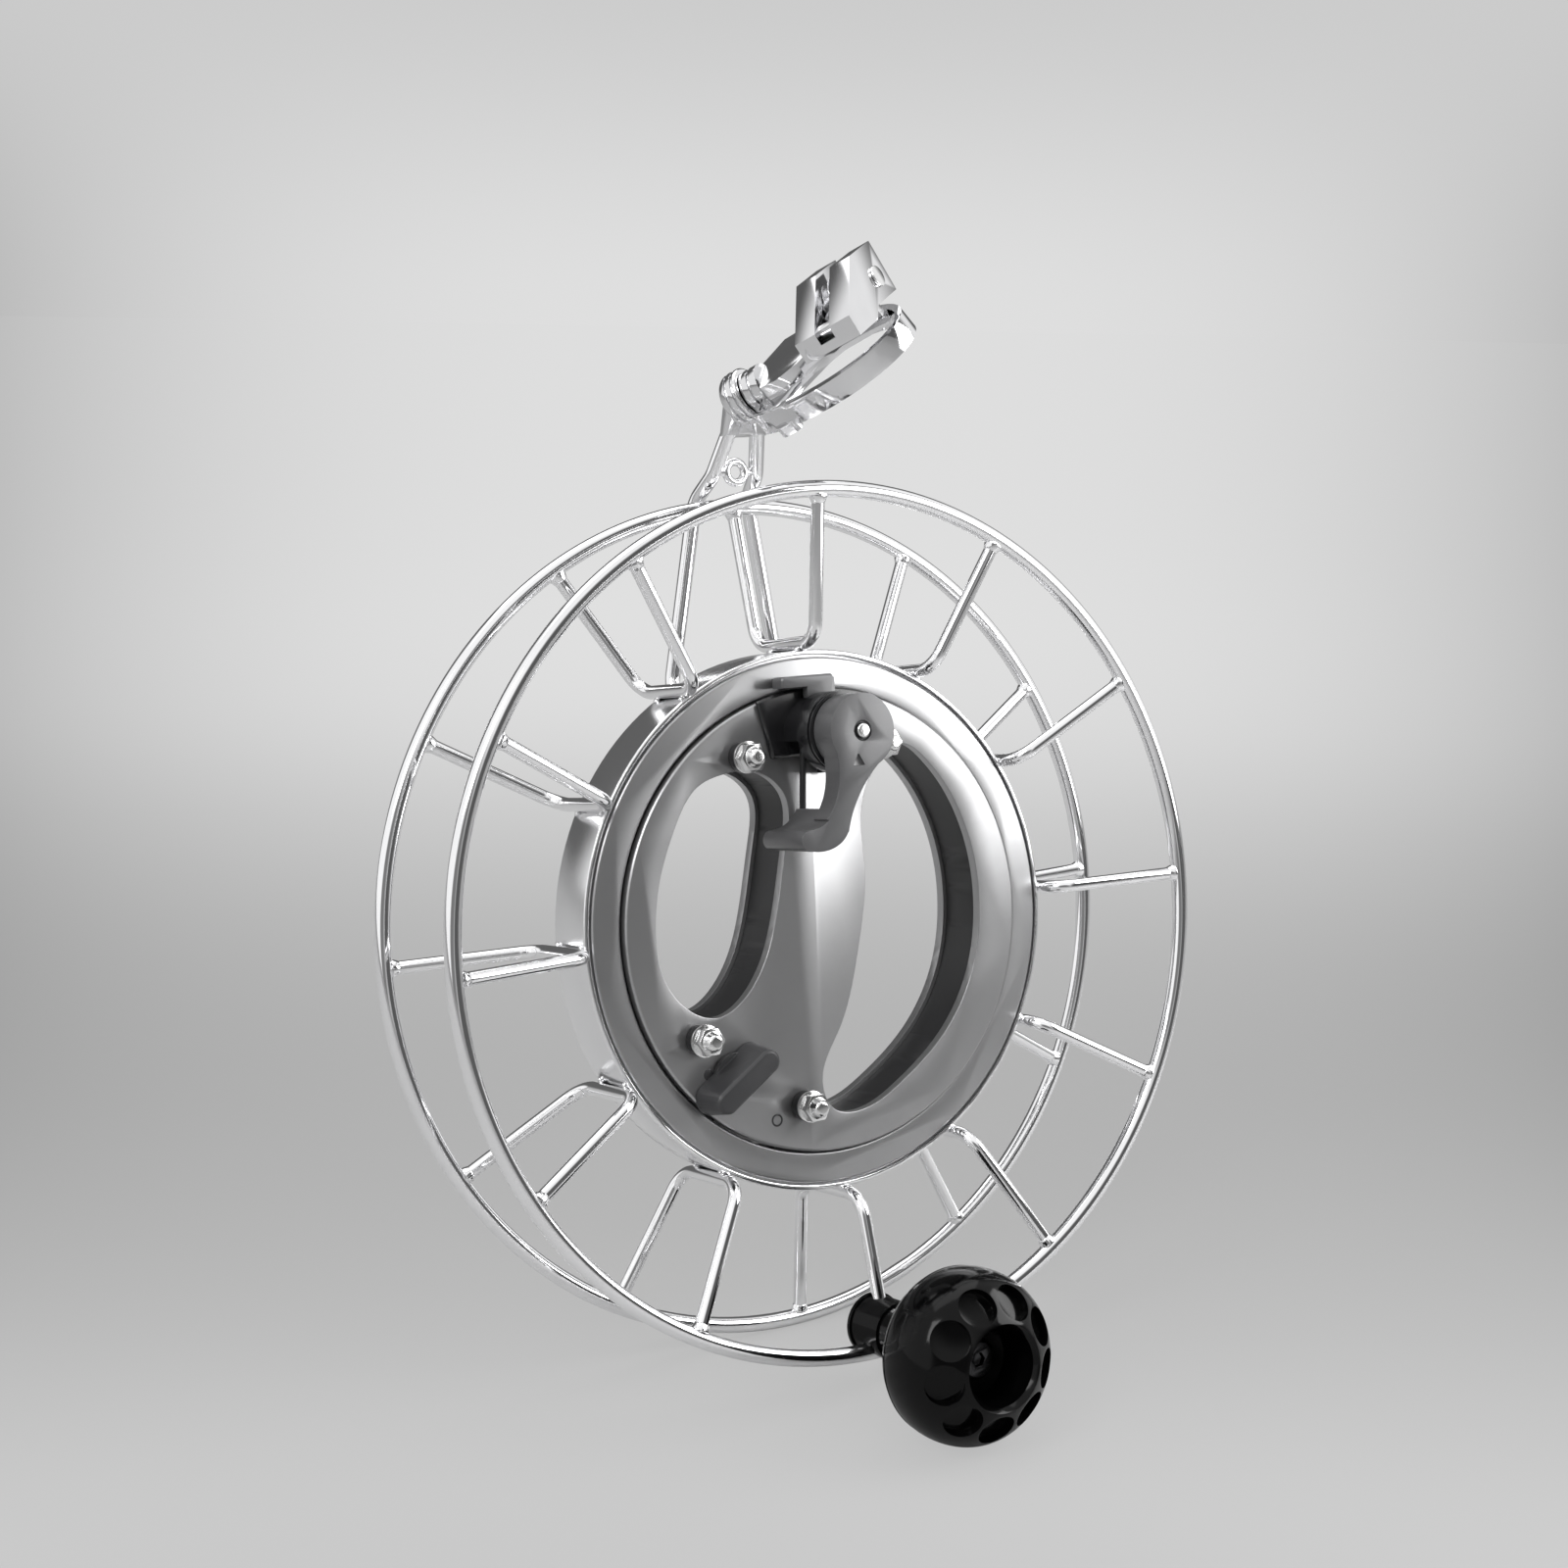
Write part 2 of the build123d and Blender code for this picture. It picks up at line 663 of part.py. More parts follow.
with BuildPart() as brake_lever:
    with BuildSketch(front(lever_back)):
        with Locations((0, PIVOT_Z)):
            Circle(LEVER_RADIUS)
    extrude(amount=LEVER_THICKNESS)
    with BuildSketch(front(neck_back)):
        with BuildLine():
            Spline((-LEVER_RADIUS, PIVOT_Z), (-8.4, 42.0), (-9.6, 35.6), (-13.6, 29.4))
            Line((-13.6, 29.4), (-7.0, 25.4))
            Spline((-7.0, 25.4), (-4.2, 32.4), (1.0, 39.6), (7.4, PIVOT_Z - 7.0))
            Line((7.4, PIVOT_Z - 7.0), (LEVER_RADIUS - 1, PIVOT_Z))
            Line((LEVER_RADIUS - 1, PIVOT_Z), (-LEVER_RADIUS, PIVOT_Z))
        make_face()
    extrude(amount=NECK_THICKNESS)
    with BuildSketch(front(trigger_back)):
        with BuildLine():
            Spline((-6.6, 27.0), (-8.4, 23.8), (-13.0, 21.4), (-19.4, 21.6))
            ThreePointArc((-19.4, 21.6), (-22.0, 24.2), (-19.6, 27.0))
            Spline((-19.6, 27.0), (-15.2, 27.8), (-10.4, 32.0))
            Line((-10.4, 32.0), (-6.6, 27.0))
        make_face()
    extrude(amount=TRIGGER_DEPTH)
    with BuildSketch(front(lever_back)):
        with Locations((0, PIVOT_Z)):
            Circle(BUSH_RADIUS)
    extrude(amount=LEVER_THICKNESS + 1, mode=Mode.SUBTRACT)
    with BuildSketch(front(trigger_back)):
        with Locations(spring_foot):
            Circle(SPRING_WIRE / 2)
    extrude(amount=4, mode=Mode.SUBTRACT)
finish(brake_lever, "brake_lever")

with BuildPart() as lever_bush:
    with BuildSketch(front(lever_back)):
        with Locations((0, PIVOT_Z)):
            Circle(BUSH_RADIUS)
            Circle(LEVER_PIN_RADIUS + RUN_FIT, mode=Mode.SUBTRACT)
    extrude(amount=LEVER_THICKNESS - 0.4)
finish(lever_bush, "lever_bush")

cam_back = shoe_face + 0.3
with BuildPart() as brake_cam:
    with BuildSketch(front(cam_back + 1.5)):
        with Locations((0, PIVOT_Z)):
            Circle(CAM_RADIUS)
            Circle(LEVER_PIN_RADIUS + RUN_FIT, mode=Mode.SUBTRACT)
    extrude(amount=lever_back - cam_back - 1.5)
    # Two ramped lobes that press on the shoe's arm.
    with BuildSketch(front(cam_back + 1.5)):
        with Locations((0, PIVOT_Z)):
            Circle(CAM_RADIUS)
            Circle(LEVER_PIN_RADIUS + RUN_FIT, mode=Mode.SUBTRACT)
            Rectangle(4 * CAM_RADIUS, CAM_RADIUS * 0.9, mode=Mode.SUBTRACT)
    extrude(amount=-1.5, taper=12)
finish(brake_cam, "brake_cam")

coil_front = lever_back - SPRING_WIRE / 2
coil_back = coil_front - SPRING_PITCH * SPRING_TURNS
leg_height = block_face + 4.2
with BuildPart() as lever_spring:
    with BuildLine() as coil_path:
        Helix(
            pitch=SPRING_PITCH,
            height=SPRING_PITCH * SPRING_TURNS,
            radius=SPRING_COIL,
            center=(0, -coil_front, PIVOT_Z),
            direction=(0, 1, 0),
            lefthand=True,
        )
    with BuildSketch(Plane(origin=coil_path.line @ 0, z_dir=coil_path.line % 0)):
        RegularPolygon(SPRING_WIRE / 2, 8)
    sweep(path=coil_path.line)
    with BuildLine() as leg_path:
        FilletPolyline(
            (-SPRING_COIL, -coil_back, PIVOT_Z + 0.6),
            (-SPRING_COIL, -leg_height, PIVOT_Z - 3.0),
            (spring_foot[0], -(trigger_back - 2.0), spring_foot[1]),
            (spring_foot[0], -(trigger_back + 3.6), spring_foot[1]),
            radius=1.6,
        )
    with BuildSketch(Plane(origin=leg_path.line @ 0, z_dir=leg_path.line % 0)):
        RegularPolygon(SPRING_WIRE / 2, 8)
    sweep(path=leg_path.line)
finish(lever_spring, "lever_spring")

with BuildPart() as lever_pin:
    with BuildSketch(front(rear_back + 4)):
        with Locations((0, PIVOT_Z)):
            Circle(LEVER_PIN_RADIUS)
    extrude(amount=lever_face + 0.9 - rear_back - 4)
    fillet(lever_pin.edges().sort_by(Axis.Y)[0], 0.7)
finish(lever_pin, "lever_pin")

# ============================================================================
# Lock: rotary knob with an eccentric pin that drives a sliding bolt
# ============================================================================
lock_plane = Plane(
    origin=(lock_place[0], -PLATE_FACE, lock_place[1]), x_dir=(1, 0, 0), z_dir=(0, -1, 0)
)
bolt_back = race_half + 0.3
bolt_thickness = cover_back - 0.3 - bolt_back
pin_angle = LOCK_ANGLE - 135.0

with BuildPart() as lock_knob:
    with BuildSketch(lock_plane.offset(0.25)):
        Circle(LOCK_DISC_RADIUS)
    extrude(amount=LOCK_DISC_HEIGHT)
    with BuildSketch(lock_plane.offset(0.25)) as bar_foot:
        with Locations(Location((-1.2, -0.4), LOCK_BAR_ANGLE)):
            SlotOverall(LOCK_BAR_LENGTH, LOCK_BAR_WIDTH)
    extrude(amount=LOCK_BAR_HEIGHT, taper=7)
    top = lock_knob.faces().sort_by(Axis.Y)[0]
    chamfer(top.edges(), 0.7)
    with BuildSketch(lock_plane.offset(0.5)):
        Circle(LOCK_SHAFT_RADIUS)
    extrude(amount=-(PLATE_THICKNESS + 0.5 + 0.3))
    with BuildSketch(lock_plane.offset(-PLATE_THICKNESS)):
        with Locations(polar(LOCK_THROW, pin_angle)):
            Circle(LOCK_PIN_RADIUS)
    extrude(amount=-(plate_back - bolt_back - 0.5))
finish(lock_knob, "lock_knob")

pin_rest = LOCK_THROW * cos(radians(135.0))
with BuildPart() as lock_bolt:
    with BuildSketch(front(bolt_back)):
        middle = (BOLT_PLATE_TAIL + 0.5 + BOLT_PLATE_TIP) / 2
        with Locations(Location(polar(middle, LOCK_ANGLE), LOCK_ANGLE)):
            Rectangle(BOLT_PLATE_TIP - BOLT_PLATE_TAIL - 0.5, BOLT_PLATE_WIDTH)
        with Locations(Location(polar(LOCK_REACH + pin_rest, LOCK_ANGLE), LOCK_ANGLE)):
            with Locations((0, 2 * LOCK_PIN_RADIUS - BOLT_PLATE_WIDTH / 2 + 0.2)):
                Rectangle(2 * LOCK_PIN_RADIUS + 0.2, 4.6, mode=Mode.SUBTRACT)
    extrude(amount=bolt_thickness)
finish(lock_bolt, "lock_bolt")

# ============================================================================
# Guide arm: clamp, two bent wires, eye and knuckle
# ============================================================================
wire_rest = -REAR_FACE + ARM_WIRE / 2 + 0.2


def arm_points(side):
    """Corner points of one arm wire, from its foot in the clamp up to the knuckle."""
    return [
        (side * ARM_FOOT_HALF, wire_rest, CLAMP_Z - CLAMP_HEIGHT / 2 + 1),
        (side * ARM_FOOT_HALF, wire_rest, ARM_BEND_Z),
        (side * (ARM_FOOT_HALF - 0.9), ARM_REACH, ARM_BEND_Z + 10.0),
        (side * 8.9, ARM_REACH - 6.2, RING_RADIUS + 2.3),
        (side * 7.2, 20.2, RING_RADIUS + 8.8),
        (side * 3.7, head_joint[1] + 3.2, head_joint[2] - 5.6),
    ]


def arm_wire(side):
    """One wire of the guide arm."""
    with BuildPart() as wire:
        with BuildLine() as path:
            FilletPolyline(*arm_points(side), radius=(6, 8, 9, 9))
        with BuildSketch(Plane(origin=path.line @ 0, z_dir=path.line % 0)):
            Circle(ARM_WIRE / 2)
        sweep(path=path.line)
    return wire


arm_wire_left = arm_wire(-1)
arm_wire_right = arm_wire(1)
finish(arm_wire_left, "arm_wire_left")
finish(arm_wire_right, "arm_wire_right")

clamp_back = -REAR_FACE + ARM_WIRE + CLAMP_WALL
with BuildPart() as arm_clamp:
    with BuildSketch(Plane.XZ.offset(REAR_FACE)):
        with Locations((0, CLAMP_Z)):
            RectangleRounded(CLAMP_WIDTH, CLAMP_HEIGHT, 4)
        with Locations((-CLAMP_SCREW_HALF, CLAMP_Z), (CLAMP_SCREW_HALF, CLAMP_Z)):
            Circle(BOLT_RADIUS - 0.4, mode=Mode.SUBTRACT)
    extrude(amount=-(ARM_WIRE + CLAMP_WALL))
    chamfer(arm_clamp.faces().sort_by(Axis.Y)[-1].outer_wire().edges(), 1.2)
    add(arm_wire_left.part, mode=Mode.SUBTRACT)
    add(arm_wire_right.part, mode=Mode.SUBTRACT)
finish(arm_clamp, "arm_clamp")

with BuildPart() as clamp_screws:
    with BuildSketch(Plane.XZ.offset(-clamp_back)):
        with Locations((-CLAMP_SCREW_HALF, CLAMP_Z), (CLAMP_SCREW_HALF, CLAMP_Z)):
            Circle(BOLT_HEAD_RADIUS)
    extrude(amount=-BOLT_HEAD_HEIGHT)
    fillet(clamp_screws.faces().group_by(Axis.Y)[-1].edges(), 0.8)
    with BuildSketch(Plane.XZ.offset(-clamp_back)):
        with Locations((-CLAMP_SCREW_HALF, CLAMP_Z), (CLAMP_SCREW_HALF, CLAMP_Z)):
            Circle(BOLT_RADIUS - 0.4)
    extrude(amount=clamp_back + REAR_FACE + PLATE_THICKNESS)
finish(clamp_screws, "clamp_screws")

eye_z = RING_RADIUS + 9.6
eye_y = 19.6
with BuildPart() as arm_eye:
    with BuildSketch(Plane(origin=(EYE_RADIUS, eye_y, eye_z), z_dir=(0, 0, 1))):
        Circle(EYE_WIRE / 2)
    revolve(axis=Axis((0, eye_y, eye_z), (0, 1, 0)))
    # Links from the ring to both wires.
    for side in (-1, 1):
        with BuildSketch(Plane(origin=(side * EYE_RADIUS, eye_y, eye_z), z_dir=(side, 0, 0))):
            Circle(EYE_LINK / 2)
        extrude(amount=EYE_LINK_REACH)
    add(arm_wire_left.part, mode=Mode.SUBTRACT)
    add(arm_wire_right.part, mode=Mode.SUBTRACT)
finish(arm_eye, "arm_eye")

# The head's own axes: w along the head, p across it, n up out of its loop.
swing = radians(HEAD_SWING)
rise = radians(HEAD_RISE)
roll = radians(HEAD_ROLL)
w_axis = Vector(cos(rise) * sin(swing), -cos(rise) * cos(swing), sin(rise))
level_p = Vector(cos(swing), sin(swing), 0)
level_n = w_axis.cross(level_p)
n_axis = level_n * cos(roll) - level_p * sin(roll)
p_axis = level_p * cos(roll) + level_n * sin(roll)
head = Plane(origin=head_joint, x_dir=w_axis, z_dir=n_axis)
across = Plane(origin=head_joint, x_dir=p_axis, z_dir=w_axis)  # normal along the head
along_head = Axis(head_joint, w_axis)
loop_normal = head.z_dir.rotate(Axis((0, 0, 0), w_axis), LOOP_TILT)
loop_plane = Plane(origin=head_joint, x_dir=w_axis, z_dir=loop_normal)

with BuildPart() as guide_knuckle:
    with BuildSketch(across.offset(KNUCKLE_BACK)):
        Circle(KNUCKLE_RADIUS)
    extrude(amount=KNUCKLE_FRONT - KNUCKLE_BACK)
    fillet(guide_knuckle.edges().filter_by(GeomType.CIRCLE).sort_by(along_head)[0], KNUCKLE_DOME)
    fillet(guide_knuckle.edges().filter_by(GeomType.CIRCLE).sort_by(along_head)[-1], 0.8)
    # Grooves round the barrel.
    for groove in (-1.9, -4.1):
        with BuildSketch(across.offset(KNUCKLE_FRONT + groove)):
            Circle(KNUCKLE_RADIUS + 1)
            Circle(KNUCKLE_RADIUS - KNUCKLE_RIB, mode=Mode.SUBTRACT)
        extrude(amount=0.7, mode=Mode.SUBTRACT)
    # Neck that takes both wires.
    with BuildSketch(Plane.XY.offset(head_joint[2] - 11.4)):
        with Locations((0, head_joint[1] + 6.0)):
            Ellipse(7.4, 3.6)
    with BuildSketch(Plane.XY.offset(head_joint[2] - 1.6)):
        with Locations((-0.6, head_joint[1] + 2.4)):
            Ellipse(6.6, 4.2)
    loft()
    with BuildSketch(across.offset(KNUCKLE_FRONT)):
        Circle(4 * KNUCKLE_RADIUS)
    extrude(amount=4 * KNUCKLE_RADIUS, mode=Mode.SUBTRACT)
    with BuildSketch(across.offset(KNUCKLE_BACK - 12)):
        Circle(HEAD_PIVOT_RADIUS)
    extrude(amount=KNUCKLE_FRONT - KNUCKLE_BACK + 14, mode=Mode.SUBTRACT)
    add(arm_wire_left.part, mode=Mode.SUBTRACT)
    add(arm_wire_right.part, mode=Mode.SUBTRACT)
finish(guide_knuckle, "guide_knuckle")

# ============================================================================
# Guide head: loop, strut, two cheeks, pulley and pins
# ============================================================================
slot_start = CHEEK_START + CHEEK_THICKNESS
slot_end = slot_start + CHEEK_SLOT
cheek_end = slot_end + CHEEK_THICKNESS
hub_start = KNUCKLE_FRONT + 0.35
web_low = LOOP_TOP - WEB_THICKNESS + 0.2

with BuildPart() as head_frame:
    with BuildSketch(loop_plane.offset(LOOP_TOP - LOOP_HEIGHT)):
        with Locations(LOOP_CENTRE):
            Ellipse(LOOP_LENGTH / 2, LOOP_WIDTH / 2)
            Ellipse(LOOP_LENGTH / 2 - LOOP_WALL, LOOP_WIDTH / 2 - LOOP_WALL, mode=Mode.SUBTRACT)
    extrude(amount=LOOP_HEIGHT)
    # Web inside the loop, from the hub to the near wall, the far wall and the cheeks.
    with BuildSketch(loop_plane.offset(web_low)):
        with BuildLine():
            Polyline(
                (hub_start + 0.4, -8.6),
                (6.0, -10.6),
                (12.0, -12.0),
                (15.5, -6.0),
                (24.3, 1.9),
                (29.2, 4.4),
                (46.0, 5.0),
                (44.0, 10.5),
                (38.0, 14.2),
                (28.7, 16.6),
                (11.0, 16.4),
                (2.0, 12.5),
                close=True,
            )
        make_face()
    extrude(amount=WEB_THICKNESS)
    # Bracket that carries the cheeks, from the hub across the web.
    with BuildSketch(loop_plane.offset(LOOP_TOP - 0.2)):
        with BuildLine():
            Polyline(
                (hub_start + 0.4, -4.5),
                (12.0, -6.0),
                (18.9, -3.1),
                (24.3, 1.9),
                (29.2, 5.9),
                (44.0, 5.6),
                (43.6, 9.4),
                (38.0, 13.0),
                (28.0, 15.6),
                (11.1, 14.5),
                (4.9, 7.8),
                (hub_start + 0.4, 5.0),
                close=True,
            )
        make_face()
    extrude(amount=BRACKET_THICKNESS)
    # Cheek profile, looking along the head: sloped front, square back with a step under it.
    with BuildSketch(across.offset(CHEEK_START)):
        with BuildLine():
            Polyline(
                (0.6, CHEEK_TOP),
                (CHEEK_BACK, CHEEK_TOP),
                (CHEEK_BACK, 3.7),
                (1.3, 3.7),
                (-3.9, 0.8),
                (-17.7, 0.8),
                (-18.1, 6.8),
                close=True,
            )
        make_face()
    extrude(amount=cheek_end - CHEEK_START)
    # Slot of the pulley, open at the top, the back and the front.
    with BuildSketch(across.offset(slot_start)):
        with Locations((CHEEK_BACK - 30, CHEEK_TOP)):
            Rectangle(60, 2 * (CHEEK_TOP - SLOT_FLOOR))
    extrude(amount=CHEEK_SLOT, mode=Mode.SUBTRACT)
    # Spacer bar across the slot.
    with BuildSketch(across.offset(slot_start)):
        with Locations((-13.6, 6.4)):
            Circle(1.3)
    extrude(amount=CHEEK_SLOT)
    # Lug under the loop's near wall.
    with BuildSketch(loop_plane.offset(LOOP_TOP - LOOP_HEIGHT - 1.6)):
        with Locations(LUG_PLACE):
            SlotOverall(7.0, 3.6)
    extrude(amount=3.4)
    # Nothing reaches behind the hub's face, which is added last with its grooves.
    with BuildSketch(across.offset(hub_start)):
        Circle(60)
    extrude(amount=-20.0, mode=Mode.SUBTRACT)
    with BuildSketch(across.offset(hub_start)):
        Circle(HEAD_HUB_RADIUS)
    extrude(amount=HEAD_HUB)
    with BuildSketch(across.offset(hub_start + HEAD_HUB / 2 - 0.35)):
        Circle(KNUCKLE_RADIUS + 1)
        Circle(HEAD_HUB_RADIUS - KNUCKLE_RIB, mode=Mode.SUBTRACT)
    extrude(amount=0.7, mode=Mode.SUBTRACT)
    with BuildSketch(across.offset(hub_start - 1)):
        Circle(HEAD_PIVOT_RADIUS + RUN_FIT)
    extrude(amount=5.0, mode=Mode.SUBTRACT)
    with BuildSketch(across.offset(CHEEK_START - 1)):
        with Locations((PULLEY_P, PULLEY_N)):
            Circle(PULLEY_PIN_RADIUS)
    extrude(amount=cheek_end - CHEEK_START + 2, mode=Mode.SUBTRACT)
finish(head_frame, "head_frame")

with BuildPart() as head_pivot:
    with BuildSketch(across.offset(KNUCKLE_BACK + 0.3)):
        Circle(HEAD_PIVOT_RADIUS)
    extrude(amount=hub_start + 3.6 - KNUCKLE_BACK - 0.3)
finish(head_pivot, "head_pivot")

pulley_at = head.from_local_coords(Vector(slot_start + CHEEK_SLOT / 2, PULLEY_P, PULLEY_N))
pulley_plane = Plane(origin=pulley_at, x_dir=w_axis, z_dir=p_axis)
with BuildPart() as guide_pulley:
    with BuildSketch(pulley_plane):
        with BuildLine():
            Polyline(
                (-PULLEY_WIDTH / 2, PULLEY_PIN_RADIUS + RUN_FIT),
                (-PULLEY_WIDTH / 2, PULLEY_RADIUS),
                (-PULLEY_WIDTH / 2 + 0.5, PULLEY_RADIUS),
                (0, PULLEY_RADIUS - 2.4),
                (PULLEY_WIDTH / 2 - 0.5, PULLEY_RADIUS),
                (PULLEY_WIDTH / 2, PULLEY_RADIUS),
                (PULLEY_WIDTH / 2, PULLEY_PIN_RADIUS + RUN_FIT),
                close=True,
            )
        make_face()
    revolve(axis=Axis(pulley_at, w_axis))
finish(guide_pulley, "guide_pulley")

with BuildPart() as pulley_pin:
    with BuildSketch(across.offset(CHEEK_START)):
        with Locations((PULLEY_P, PULLEY_N)):
            Circle(PULLEY_PIN_RADIUS)
    extrude(amount=cheek_end - CHEEK_START)
    with BuildSketch(across.offset(cheek_end)):
        with Locations((PULLEY_P, PULLEY_N)):
            Circle(3.0)
    extrude(amount=0.7)
finish(pulley_pin, "pulley_pin")

# ============================================================================
# Crank knob
# ============================================================================
with BuildPart() as knob_socket:
    add(socket_blank.part)
    with BuildSketch(front(SOCKET_BACK)):
        with Locations((0, -knob_reach)):
            Circle(SOCKET_FLANGE_RADIUS)
    extrude(amount=SOCKET_FLANGE)
    with BuildSketch(front(SOCKET_BACK + 3)):
        with Locations((0, -knob_reach)):
            Circle(SPINDLE_RADIUS)
    extrude(amount=SOCKET_FRONT, mode=Mode.SUBTRACT)
    add(front_ring.part, mode=Mode.SUBTRACT)
finish(knob_socket, "knob_socket")

recess_floor = KNOB_FACE - RECESS_DEPTH
with BuildPart() as knob_spindle:
    with BuildSketch(front(SOCKET_BACK + 3)):
        with Locations((0, -knob_reach)):
            Circle(SPINDLE_RADIUS)
    extrude(amount=recess_floor + 0.3 - SOCKET_BACK - 3)
    with BuildSketch(front(recess_floor + 0.3)):
        with Locations((0, -knob_reach)):
            Circle(SCREW_HEAD_RADIUS)
    extrude(amount=SCREW_HEAD_HEIGHT)
    chamfer(knob_spindle.edges().sort_by(Axis.Y)[0], 0.8)
    with BuildSketch(front(recess_floor + 0.3 + SCREW_HEAD_HEIGHT)):
        with Locations((0, -knob_reach)):
            RegularPolygon(2.0, 6)
    extrude(amount=-1.6, mode=Mode.SUBTRACT)
    add(front_ring.part, mode=Mode.SUBTRACT)
finish(knob_spindle, "knob_spindle")

knob_axis = Axis((0, 0, -knob_reach), (0, 1, 0))
shank_back = SOCKET_FRONT + SHANK_GAP
knob_profile_plane = Plane(origin=(0, 0, -knob_reach), x_dir=(1, 0, 0), z_dir=(0, 0, 1))
with BuildPart() as crank_knob:
    with BuildSketch(knob_profile_plane):
        with BuildLine():
            Polyline(
                (RECESS_RADIUS, -recess_floor),
                (SPINDLE_RADIUS + RUN_FIT, -recess_floor),
                (SPINDLE_RADIUS + RUN_FIT, -shank_back),
                (SHANK_RADIUS, -shank_back),
                (SHANK_RADIUS, -KNOB_BACK + 2.0),
            )
            Spline(
                (SHANK_RADIUS, -KNOB_BACK + 2.0),
                (13.0, -KNOB_BACK - 0.6),
                (20.6, -KNOB_BACK - 4.4),
                (KNOB_RADIUS, -KNOB_WIDEST),
                (20.8, -KNOB_WIDEST - 8.6),
                (15.6, -KNOB_FACE + 2.6),
                (11.4, -KNOB_FACE),
            )
            Line((11.4, -KNOB_FACE), (RECESS_RADIUS, -KNOB_FACE + 1.4))
            Line((RECESS_RADIUS, -KNOB_FACE + 1.4), (RECESS_RADIUS, -recess_floor))
        make_face()
    revolve(axis=knob_axis)
    # Round dimples in the shoulder, each sunk square to the sloping surface.
    for k in range(DIMPLE_COUNT):
        angle = DIMPLE_START + 360.0 / DIMPLE_COUNT * k
        spoke_dir = Vector(cos(radians(angle)), 0, sin(radians(angle)))
        tilt = radians(34)
        out_dir = spoke_dir * sin(tilt) + Vector(0, -cos(tilt), 0)
        seat = Vector(0, -(KNOB_FACE - 3.4), -knob_reach) + spoke_dir * DIMPLE_PITCH
        with BuildSketch(Plane(origin=seat - out_dir * 3.4, z_dir=out_dir)):
            Circle(DIMPLE_RADIUS)
        extrude(amount=9.0, mode=Mode.SUBTRACT)
finish(crank_knob, "crank_knob")
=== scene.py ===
"""Looks of the kite line winder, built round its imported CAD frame."""

import json
import logging
import math
from dataclasses import dataclass
from enum import Enum
from typing import Iterable, Sequence

import bpy
from mathutils import Matrix, Vector

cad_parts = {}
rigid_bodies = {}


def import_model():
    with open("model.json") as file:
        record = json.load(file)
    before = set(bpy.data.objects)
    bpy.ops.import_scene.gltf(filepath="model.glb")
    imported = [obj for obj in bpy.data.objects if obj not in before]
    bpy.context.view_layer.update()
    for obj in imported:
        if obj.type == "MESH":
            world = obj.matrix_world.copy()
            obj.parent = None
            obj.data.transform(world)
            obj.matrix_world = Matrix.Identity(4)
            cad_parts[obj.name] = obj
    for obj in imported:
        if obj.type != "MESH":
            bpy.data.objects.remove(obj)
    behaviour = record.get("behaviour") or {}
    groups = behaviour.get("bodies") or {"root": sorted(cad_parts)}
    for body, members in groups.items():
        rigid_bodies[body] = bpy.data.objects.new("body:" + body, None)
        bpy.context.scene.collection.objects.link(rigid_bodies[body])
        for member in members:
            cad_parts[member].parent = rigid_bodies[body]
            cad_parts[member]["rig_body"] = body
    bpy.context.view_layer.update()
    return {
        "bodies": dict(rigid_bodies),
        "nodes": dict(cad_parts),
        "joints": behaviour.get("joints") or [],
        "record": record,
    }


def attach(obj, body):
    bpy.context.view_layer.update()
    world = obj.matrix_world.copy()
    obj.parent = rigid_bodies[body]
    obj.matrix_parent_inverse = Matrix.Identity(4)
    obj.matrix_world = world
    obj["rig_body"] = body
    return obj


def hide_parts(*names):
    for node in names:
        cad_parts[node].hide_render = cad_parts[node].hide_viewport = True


logging.basicConfig(level=logging.INFO, format="%(name)s: %(message)s")
LOG = logging.getLogger("winder")

MM = 0.001
TO_FRONT = (math.pi / 2, 0, 0)  # turns a primitive's axis to the wheel's axis
MERGE_DISTANCE = 2e-6
FLAT_ANGLE = 0.5  # degrees between faces that are joined into one
SMUDGE_SCALE = 26.0
BUMP_DISTANCE = 0.0002
COAT_ROUGHNESS = 0.06

STAGE_NORMAL = Vector((0.0, -0.190, 0.982)).normalized()
STAGE_DEPTH = 122.7 * MM
EYE = Vector((-0.3362, -0.5338, 0.0659))
AHEAD = Vector((0.52741, 0.84848, -0.04399))
RIGHT = Vector((0.84450, -0.52920, -0.08221))
ABOVE = Vector((0.09303, -0.00621, 0.99565))
FOCAL_LENGTH = 51.634
FLOOR_SPAN = 80.0
TONE_REACH = 0.45  # distance from the camera's foot where the last floor tone starts
# Painted light and shade of the glowing floor, from far away to TONE_REACH: (place on the ramp,
# tone).
PAINTED_FLOOR_LIGHT = (
    (0.0, 0.795), (0.19, 0.80), (0.27, 0.775), (0.34, 0.63), (0.42, 0.475), (0.50, 0.415),
    (0.57, 0.410), (0.66, 0.44), (0.74, 0.50), (0.82, 0.57), (0.90, 0.575), (1.0, 0.55),
)
PAPER_GLOW = 0.86
PAPER_SHARE = 0.07  # share of the seen floor that takes light and shadow
PAPER_BOUNCE = 0.42  # tone of the floor in reflections and bounced light
EDGE_LIGHT = 0.93  # world over far floor, so that no horizon shows
SIDE_REACH = 3.1
SIDE_POWER = 3.2
SIDE_LOSS = 0.30
LOSS_NEAR = 0.75  # place on the ramp where the side loss starts
LOSS_FAR = 0.30  # and where it is full
TOP_TONE = 0.60
TOP_RISE = 0.15
ROOM_LIGHT = 1.0
# Dark parts of the room: (direction, start, full, share of the light taken away).
DARK_PATCHES = (
    ((0.30, 0.85, 0.40), 0.50, 0.78, 0.88),
    ((-0.527, -0.848, 0.044), 0.88, 0.97, 0.80),
    ((0.527, -0.848, -0.044), 0.62, 0.90, 0.90),
)
